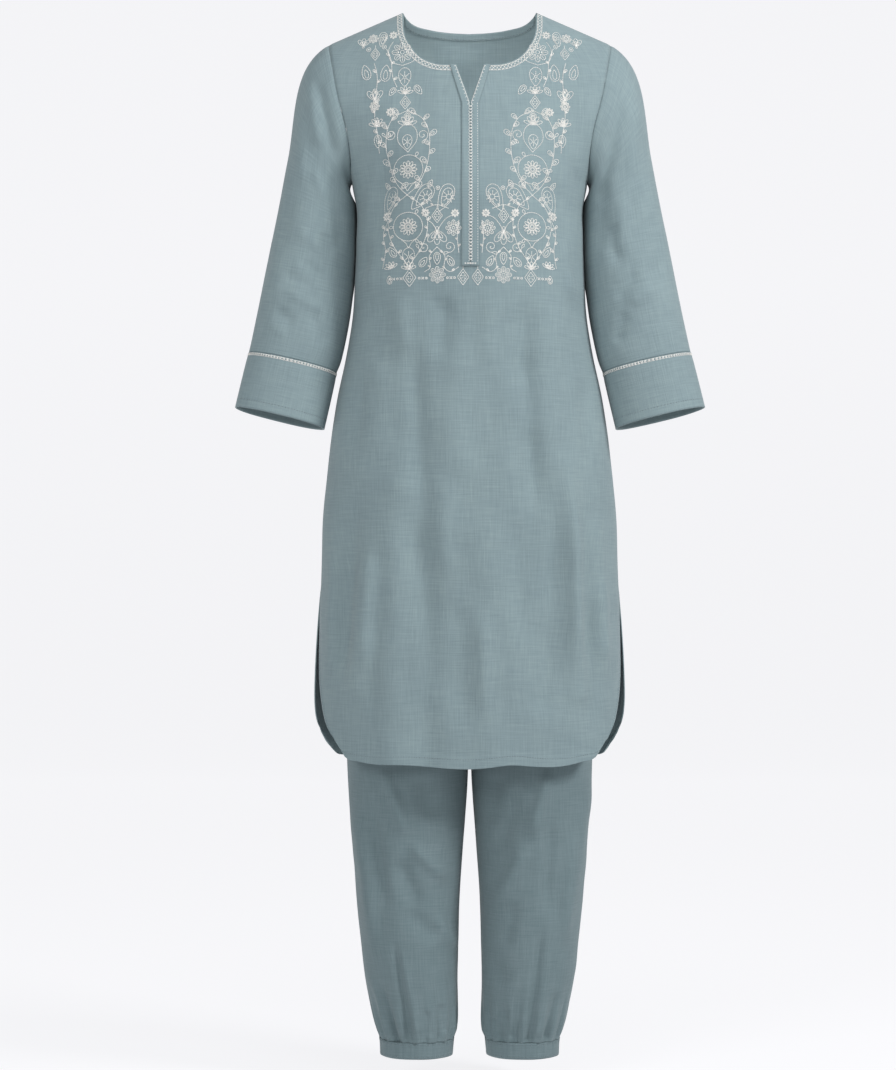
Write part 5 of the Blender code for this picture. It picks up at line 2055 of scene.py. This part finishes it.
YOKE = tuple(
    Placed(*row)
    for row in (
        (Motif.BUD, 141, 46, 7.5, 175), (Motif.FLOWER, 128, 41, 7), (Motif.PAISLEY, 113, 42, 10, 20),
        (Motif.FLOWER, 101, 38, 6), (Motif.RING, 134, 57, 3), (Motif.RING, 113, 55, 3),
        (Motif.DIAMOND, 125, 65, 9), (Motif.FLOWER, 89, 64, 14), (Motif.DROP, 137, 90, 10.5, 14),
        (Motif.DROP, 111, 92, 11.5, -6), (Motif.OVAL, 86, 98, 13), (Motif.DROP, 68, 116, 7.5, 215),
        (Motif.DROP, 102, 118, 6.5, 145), (Motif.FAN, 85, 121, 8), (Motif.DIAMOND, 85, 133, 9.5),
        (Motif.BUD, 125, 122, 10, 180), (Motif.FLOWER, 125, 137, 7), (Motif.FLOWER, 104, 146, 6),
        (Motif.FAN, 122, 164, 8.5), (Motif.DROP, 121, 184, 8.5, 180), (Motif.FAN, 82, 164, 9.5),
        (Motif.DIAMOND, 82, 152, 7), (Motif.SCROLL, 104, 176, 7.5, 20),
        (Motif.SCROLL, 62, 178, 7.5, 120), (Motif.OVAL, 82, 187, 10), (Motif.MEDALLION, 81, 224, 19.5),
        (Motif.DROP, 52, 244, 5.5, -30), (Motif.DROP, 110, 244, 5.5, 30),
        (Motif.PAISLEY, 101, 262, 17, 12), (Motif.FLOWER, 110, 284, 6),
        (Motif.PAISLEY, 57, 262, 18, -10), (Motif.FLOWER, 58, 282, 5.5),
        (Motif.PAISLEY, 28, 262, 17, 6), (Motif.RING, 42, 250, 2.6), (Motif.FLOWER, 20, 283, 5.5),
        (Motif.MEDALLION, 80, 299, 18.5), (Motif.DIAMOND, 43, 286, 9.5), (Motif.BUD, 43, 313, 11.5),
        (Motif.FLOWER, 22, 302, 10.5), (Motif.DROP, 43, 341, 8, 180), (Motif.SCROLL, 27, 326, 7.5, 80),
        (Motif.SCROLL, 60, 326, 7, 10), (Motif.OVAL, 80, 338, 12), (Motif.DROP, 100, 331, 7.5, 30),
        (Motif.DROP, 61, 345, 7.5, -40), (Motif.DROP, 26, 344, 7.5, 30), (Motif.FAN, 80, 354, 7.5),
        (Motif.FAN, 101, 352, 6.5, 20), (Motif.FLOWER, 43, 362, 11), (Motif.DIAMOND, 79, 365, 11.5),
        (Motif.DIAMOND, 9.5, 365, 10.5), (Motif.DROP, 104, 367, 5.5),
    )
)


@dataclass(frozen=True)
class Stem:
    """A sewn stem with leaves in turn on each side, given by the places it passes."""

    places: tuple[tuple[float, float], ...]
    leaf: float
    spacing: float


STEMS = (
    Stem(((126, 78), (122, 100), (125, 150), (121, 176), (119, 200)), 5.5, 13),
    Stem(((110, 58), (104, 74), (102, 96), (96, 112)), 5, 12),
    Stem(((89, 82), (104, 76), (107, 60), (101, 48)), 0, 12),
    Stem(((89, 82), (74, 76), (71, 66)), 0, 12),
    Stem(((82, 144), (62, 156), (53, 180), (55, 214), (66, 242), (81, 258)), 10, 12.5),
    Stem(((82, 144), (102, 156), (110, 180), (107, 214), (96, 242), (81, 258)), 10, 12.5),
    Stem(((82, 160), (71, 170), (70, 186), (81, 201)), 0, 11),
    Stem(((82, 160), (93, 170), (94, 186), (81, 201)), 0, 11),
    Stem(((81, 258), (62, 274), (55, 298), (62, 324), (80, 350)), 5, 11),
    Stem(((81, 258), (99, 274), (106, 298), (98, 324), (80, 350)), 5.5, 11),
    Stem(((107, 290), (113, 306), (109, 328), (112, 352)), 5.5, 10),
    Stem(((57, 290), (49, 296), (43, 304), (37, 296), (29, 288), (15, 284)), 0, 10),
    Stem(((58, 276), (43, 272), (28, 277)), 3.6, 9),
    Stem(((43, 326), (33, 338), (34, 352), (26, 358), (15, 352)), 4, 10),
    Stem(((43, 326), (53, 338), (52, 352), (60, 358)), 4, 10),
    Stem(((15, 292), (17, 312), (15, 334)), 3.5, 9),
)


@dataclass
class Embroidery:
    """White line embroidery of the yoke: flowers, leaves and medallions on both sides of the placket."""

    stitch: float = 2.4
    lift: float = 0.5
    bead_pitch: float = 4.6
    bead_drop: float = 366.0
    bead_span: tuple[float, float] = (19.0, 106.0)  # from the first bead's place to the last's, across
    bead_gaps: tuple[float, float] = (43.0, 79.0)  # places of the flowers that the row stops for
    bead_gap_half: float = 10.5
    band: float = 6.0
    band_gap: float = 1.8
    leaf_turn: float = 132.0  # a leaf's direction from straight down, in degrees
    leaf_width: float = 0.55  # as a share of its length
    inner_leaf: tuple[float, float, float] = (0.55, 0.26, 0.15)  # its line's length, width and start
    run: StitchRun = field(default_factory=lambda: StitchRun(width=1.12, height=0.55))

    def _sew(self, line: Array) -> None:
        """Sews one line on both halves.

        Args:
            line: its points across and down, on the right half.
        """
        line = evenly(line, self.stitch)
        for hand in Hand:
            points, out = on_front(line[:, 0] * hand.value, line[:, 1], self.lift)
            self.run.along(points, out, 0.94)

    def _stem(self, stem: Stem) -> None:
        """Sews a stem and its leaves.

        Args:
            stem: the stem.
        """
        places = np.array(stem.places, float)
        line = curve_through(places, np.linspace(0.0, len(places) - 1.0, 60))
        self._sew(line)
        length, width, start = self.inner_leaf
        joints = evenly(line, stem.spacing)[1:-1] if stem.leaf else []
        for k, joint in enumerate(joints):
            turn = -self.leaf_turn if k % 2 == 0 else self.leaf_turn
            leaf = stem.leaf * (1.0 if k % 3 else 1.2)
            self._sew(petal(leaf, leaf * self.leaf_width, turn) + joint)
            self._sew(petal(leaf * length, leaf * width, turn, leaf * start) + joint)

    def _neck_band(self) -> None:
        """Sews the lattice band along the front neckline, between two lines."""
        column = np.linspace(2.05, NECK_COLUMN - 0.1, 160)
        x, drop = top_edge(FRONT, column)
        line = evenly(np.stack([x, drop], -1), self.bead_pitch)
        run = np.gradient(line, axis=0)
        inward = unit(np.stack([-run[:, 1], run[:, 0]], -1))
        inward = np.where((inward[:, 1] < 0.0)[:, None], -inward, inward)
        near = line + inward * self.band_gap
        far = line + inward * (self.band_gap + self.band)
        self._sew(near)
        self._sew(far)
        for k in range(len(line) - 1):
            self._sew(np.array([near[k], far[k + 1]]))
            self._sew(np.array([far[k], near[k + 1]]))

    def _bead_row(self) -> None:
        """Sews the border of crosses and beads under the yoke, with gaps for its flowers."""
        first, last = self.bead_span
        for k, x in enumerate(np.arange(first - 3.0, last, self.bead_pitch)):
            if min(abs(x - gap) for gap in self.bead_gaps) < self.bead_gap_half or x < first:
                continue
            shape = [circle(1.6)] if k % 2 else spokes(4, 0.0, 2.6, 45.0)
            for line in shape:
                self._sew(line + [x, self.bead_drop])

    def build(self) -> bpy.types.Object:
        """Sews the whole yoke as one piece.

        Returns:
            The embroidery.
        """
        for placed in YOKE:
            for line in motif_lines(placed.motif, placed.size):
                self._sew(turned(line, placed.turn) + [placed.x, placed.drop])
        for stem in STEMS:
            self._stem(stem)
        self._neck_band()
        self._bead_row()
        return settle(self.run.piece("yoke_embroidery", WHITE_THREAD), "kurta_cloth")


@dataclass
class Studio:
    """Plain pale studio: a sweep of paper, a soft key light from the right and a wide fill."""

    floor: float = -1.43
    eye: tuple[float, float, float] = (-0.029, -3.8, -0.70)
    lens: float = 95.4
    film: float = 36.0  # height of the picture behind the lens
    fill: float = 0.31
    half_width: float = 7.0  # of the paper
    reach: float = 4.6  # from the middle back to the paper's bend
    bend: float = 1.6  # radius of the bend
    height: float = 5.0  # of the paper's upper edge over the floor

    def build(self) -> None:
        """Makes the sweep, the lights and the camera."""
        self._sweep()
        world = bpy.data.worlds.new("studio_air")
        bpy.context.scene.world = world
        world.use_nodes = True
        sky = world.node_tree.nodes["Background"]
        sky.inputs["Color"].default_value = linear("#f2f6fb")
        sky.inputs["Strength"].default_value = self.fill
        self._lamp("key", (2.6, -1.6, 1.25), (0.0, 0.0, -0.5), 0.9, 90.0)
        self._lamp("left_fill", (-2.0, -3.0, 0.8), (-0.1, 0.0, -0.75), 1.4, 44.0)
        self._lamp("top", (0.1, -1.3, 1.7), (0.0, 0.05, -0.4), 0.9, 17.0)
        # The inside of the back neck is lit on its own, as for a hollow garment in a catalogue.
        self._lamp("neck", (0.0, -0.045, -0.215), (0.0, 0.075, -0.04), 0.09, 0.3)
        view = bpy.data.cameras.new("camera")
        view.sensor_fit = "VERTICAL"
        view.sensor_height = self.film
        view.lens = self.lens
        camera = bpy.data.objects.new("camera", view)
        camera.location = self.eye
        camera.rotation_euler = (math.pi / 2.0, 0.0, 0.0)
        bpy.context.scene.collection.objects.link(camera)
        bpy.context.scene.camera = camera
        bpy.context.scene.view_settings.view_transform = "Standard"

    def _sweep(self) -> None:
        """Makes the paper: a floor that curves up into a wall behind."""
        angle = np.linspace(0.0, math.pi / 2.0, 17)[1:]
        ends = (self.reach + self.bend * np.sin(angle), self.bend * (1.0 - np.cos(angle)))
        depth = np.concatenate([[-self.half_width, self.reach], ends[0], [self.reach + self.bend]])
        height = np.concatenate([[0.0, 0.0], ends[1], [self.height]]) + self.floor
        sides = (-self.half_width, self.half_width)
        points = [(x, y, z) for y, z in zip(depth, height) for x in sides]
        faces = [(2 * k, 2 * k + 1, 2 * k + 3, 2 * k + 2) for k in range(len(depth) - 1)]
        mesh = bpy.data.meshes.new("paper_sweep")
        mesh.from_pydata(points, [], faces)
        mesh.materials.append(BACKDROP_PAPER.material())
        mesh.shade_smooth()
        link("paper_sweep", mesh)

    @staticmethod
    def _lamp(name: str, place: tuple, aim: tuple, size: float, power: float) -> None:
        """Hangs one soft square light.

        Args:
            name: the light's name.
            place: where it hangs.
            aim: the point it faces.
            size: its side in metres.
            power: its power in watts.
        """
        lamp = bpy.data.lights.new(name, "AREA")
        lamp.shape = "SQUARE"
        lamp.size = size
        lamp.energy = power
        hung = bpy.data.objects.new(name, lamp)
        hung.location = place
        way = np.array(aim) - np.array(place)
        tilt = math.acos(-way[2] / np.linalg.norm(way))
        hung.rotation_euler = (tilt, 0.0, math.atan2(way[1], way[0]) - math.pi / 2.0)
        bpy.context.scene.collection.objects.link(hung)


def main() -> None:
    """Builds the set from the trousers out to the needlework, then the studio."""
    logging.basicConfig(level=logging.INFO)
    Waistband().build()
    for hand in Hand:
        Leg(hand).build()
    KurtaPanel(Side.BACK, steps=5, spaces=(40, 44, 34), flat=(0.54, 1.02)).build()
    KurtaPanel(Side.FRONT, steps=7, spaces=(56, 66, 48), flat=(0.52, 1.02)).build((Embroidery().build(),))
    for hand in Hand:
        Sleeve(hand).build()
    NeckFacing().build()
    Placket().build()
    Studio().build()


if __name__ == "__main__":
    main()
